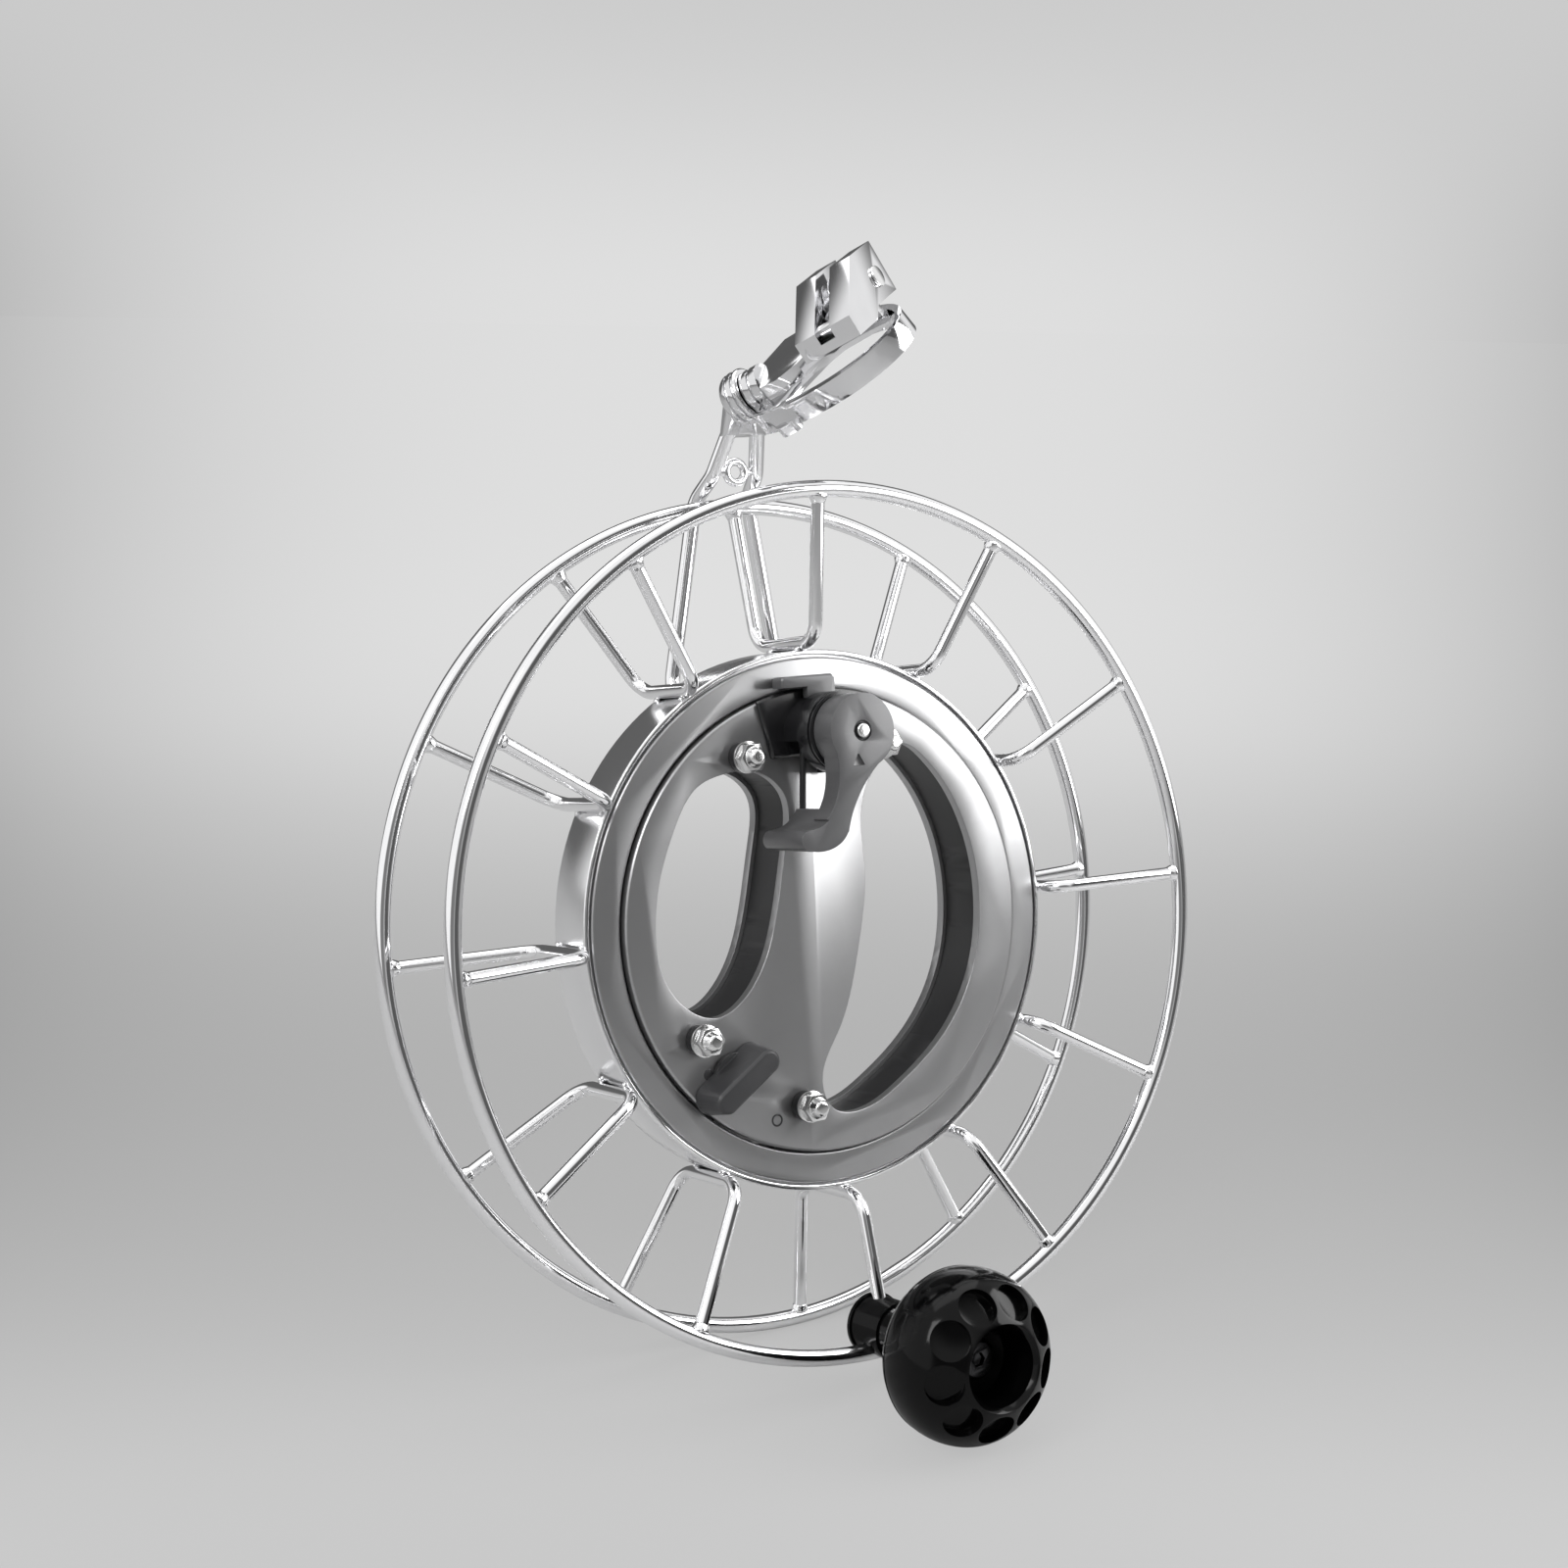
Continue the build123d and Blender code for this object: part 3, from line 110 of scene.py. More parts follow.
# Softboxes: (name, place, size, watts).
SOFTBOXES = (
    ("softbox_right", (0.31, -0.27, 0.13), (0.26, 0.28), 1.4),
    ("softbox_left", (-1.3, -0.7, 1.1), (0.6, 0.8), 12),
    ("softbox_top", (0.1, 0.2, 1.7), (1.8, 1.4), 12),
)


class Texture(Enum):
    """How a finish breaks up over its surface."""

    POLISHED = "polished"
    CAST = "cast"
    TURNED = "turned"
    SATIN = "satin"
    MOULDED = "moulded"
    GLOSS = "gloss"
    RUBBER = "rubber"


@dataclass(frozen=True)
class Finish:
    """One finish of the winder and the numbers of its material."""

    name: str
    slot: str
    texture: Texture
    colour: tuple[float, float, float]
    tint: tuple[float, float, float]
    metallic: float
    roughness: float
    spread: float
    grain: float
    depth: float
    coat: float = 0.0
    specular: float = 0.5


WIRE_STEEL = Finish(
    "wire_steel", "polished_steel", Texture.POLISHED,
    (0.92, 0.92, 0.93), (0.84, 0.84, 0.85), 1.0, 0.06, 0.03, 900.0, 0.002,
)
BAND_STEEL = Finish(
    "band_steel", "polished_steel", Texture.TURNED,
    (0.86, 0.86, 0.87), (0.76, 0.76, 0.77), 1.0, 0.16, 0.06, 700.0, 0.04,
)
FASTENER_STEEL = Finish(
    "fastener_steel", "polished_steel", Texture.POLISHED,
    (0.80, 0.80, 0.80), (0.66, 0.66, 0.66), 1.0, 0.14, 0.06, 1400.0, 0.04,
)
HEAD_CHROME = Finish(
    "head_chrome", "head_chrome", Texture.CAST,
    (0.76, 0.76, 0.77), (0.66, 0.66, 0.67), 1.0, 0.07, 0.03, 420.0, 0.004,
)
RACE_STEEL = Finish(
    "race_steel", "race_steel", Texture.TURNED,
    (0.62, 0.62, 0.63), (0.50, 0.50, 0.51), 1.0, 0.28, 0.08, 900.0, 0.06,
)
PLATE_GREY = Finish(
    "plate_grey", "plate_grey", Texture.SATIN,
    (0.37, 0.37, 0.375), (0.33, 0.33, 0.335), 0.84, 0.29, 0.04, 1500.0, 0.03, 0.10,
)
LEVER_GREY = Finish(
    "lever_grey", "plate_grey", Texture.SATIN,
    (0.10, 0.10, 0.103), (0.14, 0.14, 0.143), 0.25, 0.30, 0.05, 1500.0, 0.06, 0.15,
)
CORE_BLACK = Finish(
    "core_black", "body_black", Texture.MOULDED,
    (0.012, 0.012, 0.013), (0.022, 0.022, 0.023), 0.0, 0.38, 0.08, 1200.0, 0.12,
)
BARREL_BLACK = Finish(
    "barrel_black", "body_black", Texture.GLOSS,
    (0.010, 0.010, 0.011), (0.018, 0.018, 0.019), 0.0, 0.22, 0.06, 1000.0, 0.04, 0.2,
)
LOCK_BLACK = Finish(
    "lock_black", "lock_black", Texture.MOULDED,
    (0.035, 0.035, 0.037), (0.055, 0.055, 0.057), 0.0, 0.36, 0.08, 1100.0, 0.10,
)
KNOB_BLACK = Finish(
    "knob_black", "knob_black", Texture.GLOSS,
    (0.0012, 0.0012, 0.0013), (0.002, 0.002, 0.0021), 0.0, 0.12, 0.04, 500.0, 0.01, 0.0, 0.16,
)
SPINDLE_BLACK = Finish(
    "spindle_black", "black_steel", Texture.POLISHED,
    (0.05, 0.05, 0.052), (0.08, 0.08, 0.082), 1.0, 0.25, 0.06, 1400.0, 0.02,
)
PAD_RUBBER = Finish(
    "pad_rubber", "pad_rubber", Texture.RUBBER,
    (0.03, 0.03, 0.03), (0.05, 0.05, 0.05), 0.0, 0.75, 0.10, 1600.0, 0.25,
)


class NodeDesk:
    """Adds and joins shader nodes in one tree."""

    def __init__(self, tree: bpy.types.NodeTree) -> None:
        """Keep the tree and empty it.

        Args:
            tree: The node tree to build in.
        """
        self.tree = tree
        tree.nodes.clear()
        self.column = 0

    def add(self, kind: str, **settings: object) -> bpy.types.Node:
        """Add a node of a kind and set its properties.

        Args:
            kind: The node's Blender type name.
            **settings: Property values, such as operation="MULTIPLY".

        Returns:
            The new node.
        """
        node = self.tree.nodes.new(kind)
        node.location = (self.column * 180, 0)
        self.column += 1
        for key, value in settings.items():
            setattr(node, key, value)
        return node

    def join(self, out: bpy.types.NodeSocket, into: bpy.types.NodeSocket) -> None:
        """Link an output to an input."""
        self.tree.links.new(out, into)

    def math(
        self, operation: str, first: object, second: object = None
    ) -> bpy.types.NodeSocket:
        """Add a Math node on sockets or numbers.

        Args:
            operation: The Math node's operation.
            first: A socket or a number.
            second: A socket, a number or nothing.

        Returns:
            The node's value output.
        """
        node = self.add("ShaderNodeMath", operation=operation)
        for index, value in enumerate((first, second)):
            if isinstance(value, bpy.types.NodeSocket):
                self.join(value, node.inputs[index])
            elif value is not None:
                node.inputs[index].default_value = float(value)
        return node.outputs[0]


class EffectShop:
    """Builds the shader groups that several finishes share."""

    def __init__(self) -> None:
        """Build each group once."""
        self.grain = self._grain()
        self.smudge = self._smudge()
        self.turning = self._turning()

    @staticmethod
    def _open(name: str, numbers: Iterable[str], outs: Iterable[str]) -> tuple:
        """Start a group with a vector input and named number sockets.

        Args:
            name: The group's name.
            numbers: Names of its number inputs.
            outs: Names of its number outputs.

        Returns:
            The group, its desk, its input node and its output node.
        """
        group = bpy.data.node_groups.new(name, "ShaderNodeTree")
        group.interface.new_socket("Vector", in_out="INPUT", socket_type="NodeSocketVector")
        for label in numbers:
            group.interface.new_socket(label, in_out="INPUT", socket_type="NodeSocketFloat")
        for label in outs:
            group.interface.new_socket(label, in_out="OUTPUT", socket_type="NodeSocketFloat")
        desk = NodeDesk(group)
        return group, desk, desk.add("NodeGroupInput"), desk.add("NodeGroupOutput")

    def _grain(self) -> bpy.types.NodeTree:
        """Fine surface grain in two sizes.

        Returns:
            The group, with Scale in and Height and Mask out.
        """
        group, desk, start, end = self._open("surface_grain", ["Scale"], ["Height", "Mask"])
        fine = desk.add("ShaderNodeTexNoise")
        fine.inputs["Detail"].default_value = 3.0
        coarse = desk.add("ShaderNodeTexNoise")
        coarse.inputs["Detail"].default_value = 2.0
        desk.join(start.outputs["Vector"], fine.inputs["Vector"])
        desk.join(start.outputs["Vector"], coarse.inputs["Vector"])
        desk.join(start.outputs["Scale"], fine.inputs["Scale"])
        desk.join(desk.math("MULTIPLY", start.outputs["Scale"], 0.11), coarse.inputs["Scale"])
        both = desk.math("MULTIPLY", fine.outputs[0], 0.7)
        height = desk.math("ADD", both, desk.math("MULTIPLY", coarse.outputs[0], 0.3))
        desk.join(height, end.inputs["Height"])
        desk.join(coarse.outputs[0], end.inputs["Mask"])
        return group

    def _smudge(self) -> bpy.types.NodeTree:
        """Soft smudges and faint scratches of handling.

        Returns:
            The group, with Scale in and Mask out.
        """
        group, desk, start, end = self._open("handling_smudge", ["Scale"], ["Mask"])
        cloud = desk.add("ShaderNodeTexNoise")
        cloud.inputs["Detail"].default_value = 5.0
        cloud.inputs["Distortion"].default_value = 0.6
        streak = desk.add("ShaderNodeTexNoise")
        streak.inputs["Detail"].default_value = 2.0
        long = desk.add("ShaderNodeMapping")
        long.inputs["Scale"].default_value = (1.0, 0.08, 9.0)
        long.inputs["Rotation"].default_value = (0.3, 0.5, 0.7)
        desk.join(start.outputs["Vector"], cloud.inputs["Vector"])
        desk.join(start.outputs["Vector"], long.inputs["Vector"])
        desk.join(long.outputs["Vector"], streak.inputs["Vector"])
        desk.join(start.outputs["Scale"], cloud.inputs["Scale"])
        desk.join(desk.math("MULTIPLY", start.outputs["Scale"], 3.0), streak.inputs["Scale"])
        ramp = desk.add("ShaderNodeValToRGB")
        ramp.color_ramp.elements[0].position = 0.42
        ramp.color_ramp.elements[1].position = 0.68
        desk.join(cloud.outputs[0], ramp.inputs[0])
        sharp = desk.math("GREATER_THAN", streak.outputs[0], 0.69)
        mask = desk.math("ADD", ramp.outputs[0], desk.math("MULTIPLY", sharp, 0.25))
        desk.join(mask, end.inputs["Mask"])
        return group

    def _turning(self) -> bpy.types.NodeTree:
        """Fine rings round the wheel's axis, as a lathe leaves.

        Returns:
            The group, with Pitch in and Height and Mask out.
        """
        group, desk, start, end = self._open("turning_rings", ["Pitch"], ["Height", "Mask"])
        split = desk.add("ShaderNodeSeparateXYZ")
        desk.join(start.outputs["Vector"], split.inputs[0])
        across = desk.math("POWER", split.outputs["X"], 2.0)
        up = desk.math("POWER", split.outputs["Z"], 2.0)
        radius = desk.math("SQRT", desk.math("ADD", across, up))
        spot = desk.add("ShaderNodeCombineXYZ")
        desk.join(radius, spot.inputs["X"])
        desk.join(split.outputs["Y"], spot.inputs["Y"])
        noise = desk.add("ShaderNodeTexNoise")
        noise.inputs["Detail"].default_value = 4.0
        desk.join(spot.outputs[0], noise.inputs["Vector"])
        desk.join(start.outputs["Pitch"], noise.inputs["Scale"])
        desk.join(noise.outputs[0], end.inputs["Height"])
        wide = desk.add("ShaderNodeTexNoise")
        desk.join(spot.outputs[0], wide.inputs["Vector"])
        desk.join(desk.math("MULTIPLY", start.outputs["Pitch"], 0.2), wide.inputs["Scale"])
        desk.join(wide.outputs[0], end.inputs["Mask"])
        return group


class FinishShop:
    """Makes one material for each finish."""

    def __init__(self) -> None:
        """Build the shared effects."""
        self.effects = EffectShop()
        self.made: dict[str, bpy.types.Material] = {}

    def material(self, finish: Finish) -> bpy.types.Material:
        """Material of a finish, made on first use.

        Args:
            finish: The finish to make.

        Returns:
            The material.
        """
        if finish.name in self.made:
            return self.made[finish.name]
        made = bpy.data.materials.new(finish.name)
        made.use_nodes = True
        desk = NodeDesk(made.node_tree)
        place = desk.add("ShaderNodeTexCoord").outputs["Object"]
        kind = self.effects.turning if finish.texture is Texture.TURNED else self.effects.grain
        grain = desk.add("ShaderNodeGroup", node_tree=kind)
        grain.inputs[1].default_value = finish.grain
        smudge = desk.add("ShaderNodeGroup", node_tree=self.effects.smudge)
        smudge.inputs["Scale"].default_value = SMUDGE_SCALE
        desk.join(place, grain.inputs["Vector"])
        desk.join(place, smudge.inputs["Vector"])
        tone = desk.add("ShaderNodeMix", data_type="RGBA")
        tone.inputs[6].default_value = (*finish.colour, 1.0)
        tone.inputs[7].default_value = (*finish.tint, 1.0)
        worn = desk.math("MULTIPLY", grain.outputs["Mask"], smudge.outputs["Mask"])
        desk.join(worn, tone.inputs[0])
        handled = desk.math("MULTIPLY", smudge.outputs["Mask"], finish.spread)
        rough = desk.math("ADD", handled, finish.roughness)
        bump = desk.add("ShaderNodeBump")
        bump.inputs["Strength"].default_value = finish.depth
        bump.inputs["Distance"].default_value = BUMP_DISTANCE
        desk.join(grain.outputs["Height"], bump.inputs["Height"])
        skin = desk.add("ShaderNodeBsdfPrincipled")
        skin.inputs["Metallic"].default_value = finish.metallic
        skin.inputs["Coat Weight"].default_value = finish.coat
        skin.inputs["Coat Roughness"].default_value = COAT_ROUGHNESS
        skin.inputs["Specular IOR Level"].default_value = finish.specular
        desk.join(tone.outputs[2], skin.inputs["Base Color"])
        desk.join(rough, skin.inputs["Roughness"])
        desk.join(bump.outputs[0], skin.inputs["Normal"])
        end = desk.add("ShaderNodeOutputMaterial")
        desk.join(skin.outputs[0], end.inputs["Surface"])
        self.made[finish.name] = made
        return made

    def dress(self, piece: bpy.types.Object, finish: Finish) -> None:
        """Give a piece one finish all over."""
        piece.data.materials.clear()
        piece.data.materials.append(self.material(finish))


class Workbench:
    """Hand tools: selection, edit mode, modifiers and copies of CAD nodes."""

    def __init__(self, frame: dict, shop: FinishShop) -> None:
        """Keep the frame and the finishes.

        Args:
            shop: Maker of the materials.
        """
        self.frame = frame
        self.shop = shop
        self.log = LOG

    @staticmethod
    def clear() -> None:
        """Select nothing, ahead of a new primitive."""
        bpy.ops.object.select_all(action="DESELECT")

    @staticmethod
    def pick(piece: bpy.types.Object, *others: bpy.types.Object) -> None:
        """Select these objects alone, the first one active."""
        bpy.ops.object.select_all(action="DESELECT")
        for item in (piece, *others):
            item.select_set(True)
        bpy.context.view_layer.objects.active = piece

    def smooth(self, piece: bpy.types.Object, angle: float = 30.0) -> None:
        """Shade a piece smooth where its faces meet at less than an angle in degrees."""
        self.pick(piece)
        bpy.ops.object.shade_smooth_by_angle(angle=math.radians(angle))

    def settle(self, piece: bpy.types.Object) -> None:
        """Put a piece's place into its mesh."""
        self.pick(piece)
        bpy.ops.object.transform_apply(location=True, rotation=True, scale=True)

    def bevel(
        self, piece: bpy.types.Object, width: float, segments: int, angle: float = 32.0
    ) -> None:
        """Round a piece's edges with an applied Bevel modifier.

        Args:
            piece: The piece.
            width: Width of the rounding in millimetres.
            segments: Faces across it.
            angle: Least angle of an edge that is rounded, in degrees.
        """
        self.pick(piece)
        rounding = piece.modifiers.new("rounding", "BEVEL")
        rounding.width = width * MM
        rounding.segments = segments
        rounding.limit_method = "ANGLE"
        rounding.angle_limit = math.radians(angle)
        rounding.use_clamp_overlap = True
        bpy.ops.object.modifier_apply(modifier=rounding.name)

    def copy_of(
        self, node: str, width: float = 0.0, segments: int = 2, angle: float = 30.0
    ) -> bpy.types.Object:
        """Merged copy of a CAD node with rounded edges, standing for it.

        Args:
            node: The CAD node's name.
            width: Rounding of its edges in millimetres, or 0 for none.
            segments: Faces across the rounding.
            angle: Angle up to which faces are shaded as one surface.

        Returns:
            The new piece, riding on the node's body.
        """
        source = self.frame["nodes"][node]
        piece = bpy.data.objects.new(f"{node}_skin", source.data.copy())
        bpy.context.scene.collection.objects.link(piece)
        self.pick(piece)
        if piece.data.has_custom_normals:
            bpy.ops.mesh.customdata_custom_splitnormals_clear()
        bpy.ops.object.mode_set(mode="EDIT")
        bpy.ops.mesh.select_all(action="SELECT")
        bpy.ops.mesh.remove_doubles(threshold=MERGE_DISTANCE)
        bpy.ops.mesh.dissolve_limited(angle_limit=math.radians(FLAT_ANGLE))
        bpy.ops.object.mode_set(mode="OBJECT")
        if width:
            self.bevel(piece, width, segments)
        self.smooth(piece, angle)
        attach(piece, source["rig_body"])
        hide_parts(node)
        return piece

    def hand_over(
        self, piece: bpy.types.Object, name: str, body: str, finish: Finish
    ) -> bpy.types.Object:
        """Name, dress and fasten a finished new piece.

        Args:
            piece: The piece, in place.
            name: Its name.
            body: The body that it rides on.
            finish: Its finish.

        Returns:
            The piece.
        """
        self.settle(piece)
        piece.name = name
        piece.data.name = name
        self.shop.dress(piece, finish)
        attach(piece, body)
        self.log.info("%s rides on %s", name, body)
        return piece

    def skin(
        self,
        node: str,
        finish: Finish,
        width: float = 0.0,
        segments: int = 2,
        angle: float = 30.0,
    ) -> bpy.types.Object:
        """Copy a node, round it and dress it.

        Args:
            node: The CAD node.
            finish: Its finish.
            width: Rounding in millimetres.
            segments: Faces across the rounding.
            angle: Smoothing angle in degrees.

        Returns:
            The piece.
        """
        piece = self.copy_of(node, width, segments, angle)
        self.shop.dress(piece, finish)
        self.log.info("%s dressed as %s", node, finish.name)
        return piece

    def join(self, pieces: Sequence[bpy.types.Object]) -> bpy.types.Object:
        """Join pieces into the first one."""
        self.pick(pieces[0], *pieces[1:])
        bpy.ops.object.join()
        return pieces[0]


def facing(direction: Vector) -> tuple[float, float, float]:
    """Rotation that turns +Z to a direction."""
    return tuple(direction.to_track_quat("Z", "Y").to_euler())


@dataclass
class WireWheel:
    """The spinning wheel: rims, spokes, band and their welds."""

    bench: Workbench
    ring_radius: float = 118.0
    ring_wire: float = 4.6
    ring_half: float = 22.7
    foot_half: float = 15.2
    foot_radius: float = 77.0
    band_radius: float = 75.1
    spokes: int = 12
    butt_weld: tuple[float, float, float] = (0.30, 0.0, -0.954)
    butt_span: float = 0.9
    butt_swell: float = 1.05
    bead_base: float = 2.75
    bead_tip: float = 1.95
    bead_depth: float = 2.3
    bead_setback: float = 0.55
    bead_round: float = 0.35
    bare_spoke: int = 6
    tack_heights: tuple[float, float] = (-7.2, 6.6)
    tack_radius: float = 0.9
    tack_side: float = 1.35
    tack_lift: float = 0.25

    def rim(self, name: str, node: str, height: float) -> None:
        """Model one rim ring with its butt weld.

        Args:
            name: Name of the piece.
            node: The CAD node that it stands for.
            height: Its distance along Y in millimetres.
        """
        bpy.ops.object.select_all(action="DESELECT")
        bpy.ops.mesh.primitive_torus_add(
            location=(0, height * MM, 0),
            rotation=TO_FRONT,
            major_radius=self.ring_radius * MM,
            minor_radius=self.ring_wire / 2 * MM,
            major_segments=216,
            minor_segments=24,
        )
        ring = bpy.context.object
        self.bench.settle(ring)
        bpy.ops.object.mode_set(mode="EDIT")
        bpy.ops.mesh.select_all(action="DESELECT")
        bpy.ops.object.mode_set(mode="OBJECT")
        weld = Vector(self.butt_weld).normalized()
        for vertex in ring.data.vertices:
            flat = Vector((vertex.co.x, 0, vertex.co.z)).normalized()
            vertex.select = flat.angle(weld) < math.radians(self.butt_span)
        bpy.ops.object.mode_set(mode="EDIT")
        centre = weld * self.ring_radius * MM + Vector((0, height * MM, 0))
        bpy.ops.transform.resize(value=(self.butt_swell,) * 3, center_override=centre)
        bpy.ops.object.mode_set(mode="OBJECT")
        self.bench.smooth(ring, 60)
        self.bench.hand_over(ring, name, "wheel", WIRE_STEEL)
        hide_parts(node)

    def weld(self, at: Vector, along: Vector) -> bpy.types.Object:
        """Model one flared weld bead.

        Args:
            at: Its middle in metres.
            along: Direction from its wide end to its narrow end.

        Returns:
            The bead.
        """
        bpy.ops.object.select_all(action="DESELECT")
        bpy.ops.mesh.primitive_cone_add(
            vertices=18,
            radius1=self.bead_base * MM,
            radius2=self.bead_tip * MM,
            depth=self.bead_depth * MM,
            location=at,
            rotation=facing(along),
        )
        bead = bpy.context.object
        self.bench.settle(bead)
        bpy.ops.object.mode_set(mode="EDIT")
        bpy.ops.mesh.select_all(action="SELECT")
        bpy.ops.mesh.bevel(offset=self.bead_round * MM, segments=2, affect="EDGES")
        bpy.ops.object.mode_set(mode="OBJECT")
        return bead

    def welds(self) -> None:
        """Bead each spoke on both rims and on the band."""
        beads = []
        for index in range(self.spokes):
            angle = math.radians(360.0 / self.spokes * index)
            out = Vector((math.sin(angle), 0, math.cos(angle)))
            for side in (-1, 1):
                end = out * self.ring_radius + Vector((0, side * self.ring_half, 0))
                foot = out * self.foot_radius + Vector((0, side * self.foot_half, 0))
                along = (foot - end).normalized()
                if index == self.bare_spoke and side < 0:
                    continue
                at = (end + along * (self.ring_wire / 2 + self.bead_setback)) * MM
                beads.append(self.weld(at, along))
        rim_welds = self.bench.join(beads)
        self.bench.smooth(rim_welds, 50)
        self.bench.hand_over(rim_welds, "spoke_welds", "wheel", WIRE_STEEL)
        tacks = []
        for index in range(self.spokes):
            angle = math.radians(360.0 / self.spokes * index)
            out = Vector((math.sin(angle), 0, math.cos(angle)))
            across = Vector((math.cos(angle), 0, -math.sin(angle)))
            for height in self.tack_heights:
                for side in (-1, 1):
                    at = out * (self.band_radius + self.tack_lift)
                    at += across * side * self.tack_side + Vector((0, height, 0))
                    bpy.ops.object.select_all(action="DESELECT")
                    bpy.ops.mesh.primitive_uv_sphere_add(
                        segments=10,
                        ring_count=6,
                        radius=self.tack_radius * MM,
                        location=at * MM,
                        rotation=facing(out),
                        scale=(1.0, 1.5, 0.62),
                    )
                    tacks.append(bpy.context.object)
        band_tacks = self.bench.join(tacks)
        self.bench.smooth(band_tacks, 80)
        self.bench.hand_over(band_tacks, "band_tacks", "wheel", BAND_STEEL)

    def build(self) -> None:
        """Model and dress the whole wheel."""
        self.rim("front_rim", "front_ring", -self.ring_half)
        self.rim("rear_rim", "rear_ring", self.ring_half)
        for index in range(self.spokes):
            self.bench.skin(f"spoke_{index + 1:02d}", WIRE_STEEL, angle=50)
        self.bench.skin("drum_band", BAND_STEEL, 0.25, 2)
        self.welds()
        for node in ("hub_cover_front", "hub_cover_rear"):
            self.bench.skin(node, PLATE_GREY, 0.2, 2)
        for node in ("bearing_outer_race", "lock_ring"):
            self.bench.skin(node, RACE_STEEL)
        self.bench.skin("knob_socket", KNOB_BLACK, 0.3, 2)
        self.bench.skin("knob_spindle", SPINDLE_BLACK, 0.2, 2)


@dataclass
class HubShell:
    """The fixed hub: plates, core, inner race, bolts and printed marks."""

    bench: Workbench
    face: float = -11.2
    sunk: float = 0.12
    mark_radius: float = 1.5
    mark_height: float = 0.5
    mark_round: float = 0.12
    ring_wire: float = 0.32
    marks: tuple[tuple[float, float], ...] = ((-42.6, -36.6), (-22.4, -52.4))

    def build(self) -> None:
        """Model and dress the hub."""
        for node in ("front_plate", "rear_plate"):
            self.bench.skin(node, PLATE_GREY, 0.45, 3)
        self.bench.skin("grip_core", CORE_BLACK, 0.2, 2)
        self.bench.skin("bearing_inner_race", RACE_STEEL)
        self.bench.skin("bearing_cage", CORE_BLACK)
        self.bench.skin("bearing_balls", FASTENER_STEEL, angle=60)
        self.bench.skin("through_bolts", FASTENER_STEEL, 0.2, 2)
        self.bench.skin("nut_bosses", CORE_BLACK, 0.3, 2)
        self.bench.skin("nut_washers", FASTENER_STEEL, 0.15, 2)
        self.bench.skin("dome_nuts", FASTENER_STEEL, 0.25, 3)
        self.printed_marks()

    def printed_marks(self) -> None:
        """Raise two plain marks by the lock: a filled dot on its left and a ring on its right."""
        parts = []
        for index, (across, up) in enumerate(self.marks):
            self.bench.clear()
            place = (across * MM, (self.face + self.sunk) * MM, up * MM)
            if index:
                bpy.ops.mesh.primitive_torus_add(
                    location=place,
                    rotation=TO_FRONT,
                    major_radius=self.mark_radius * MM,
                    minor_radius=self.ring_wire * MM,
                    major_segments=32,
                    minor_segments=8,
                )
            else:
                bpy.ops.mesh.primitive_cylinder_add(
                    vertices=32,
                    radius=self.mark_radius * MM,
                    depth=self.mark_height * MM,
                    location=place,
                    rotation=TO_FRONT,
                )
                bpy.ops.object.mode_set(mode="EDIT")
                bpy.ops.mesh.select_all(action="SELECT")
                bpy.ops.mesh.bevel(offset=self.mark_round * MM, segments=2, affect="EDGES")
                bpy.ops.object.mode_set(mode="OBJECT")
            parts.append(bpy.context.object)
        marks = self.bench.join(parts)
        self.bench.smooth(marks, 40)
        self.bench.hand_over(marks, "lock_marks", "hub", LOCK_BLACK)


@dataclass
class BrakeUnit:
    """The disc brake with its lever, barrel, shoe and spring."""

    bench: Workbench
    lever_face: float = -34.95
    recess_place: tuple[float, float] = (-2.0, 43.9)
    recess_radius: float = 2.3
    recess_depth: float = 1.6
    recess_round: float = 0.4

    def build(self) -> None:
        """Model and dress the brake."""
        self.bench.skin("brake_block", BARREL_BLACK, 0.3, 3)
        self.bench.skin("brake_barrel", BARREL_BLACK, 0.2, 2)
        lever = self.bench.skin("brake_lever", LEVER_GREY, 0.7, 4, 35)
        self.bench.skin("lever_bush", CORE_BLACK, 0.2, 2)
        self.bench.skin("brake_cam", RACE_STEEL, 0.2, 2)
        self.bench.skin("lever_spring", CORE_BLACK, angle=60)
        self.bench.skin("lever_pin", FASTENER_STEEL, 0.2, 2)
        self.bench.skin("brake_shoe", LEVER_GREY, 0.4, 3)
        self.bench.skin("brake_pad", PAD_RUBBER, 0.2, 2)
        self.recess(lever)

    def recess(self, lever: bpy.types.Object) -> None:
        """Sink the small three-cornered recess under the lever's pivot.

        Args:
            lever: The lever to cut.
        """
        across, up = self.recess_place
        self.bench.clear()
        bpy.ops.mesh.primitive_cylinder_add(
            vertices=3,
            radius=self.recess_radius * MM,
            depth=self.recess_depth * MM,
            location=(across * MM, self.lever_face * MM, up * MM),
            rotation=TO_FRONT,
        )
        cutter = bpy.context.object
        self.bench.settle(cutter)
        self.bench.bevel(cutter, self.recess_round, 2)
        self.bench.pick(lever)
        cut = lever.modifiers.new("recess", "BOOLEAN")
        cut.operation = "DIFFERENCE"
        cut.object = cutter
        cut.solver = "EXACT"
        bpy.ops.object.modifier_apply(modifier=cut.name)
        bpy.data.objects.remove(cutter)
        self.bench.smooth(lever, 35)


@dataclass
class LockUnit:
    """The rotary lock and its bolt."""

    bench: Workbench

    def build(self) -> None:
        """Dress the lock."""
        self.bench.skin("lock_knob", LOCK_BLACK, 0.4, 3)
        self.bench.skin("lock_bolt", CORE_BLACK, 0.2, 2)


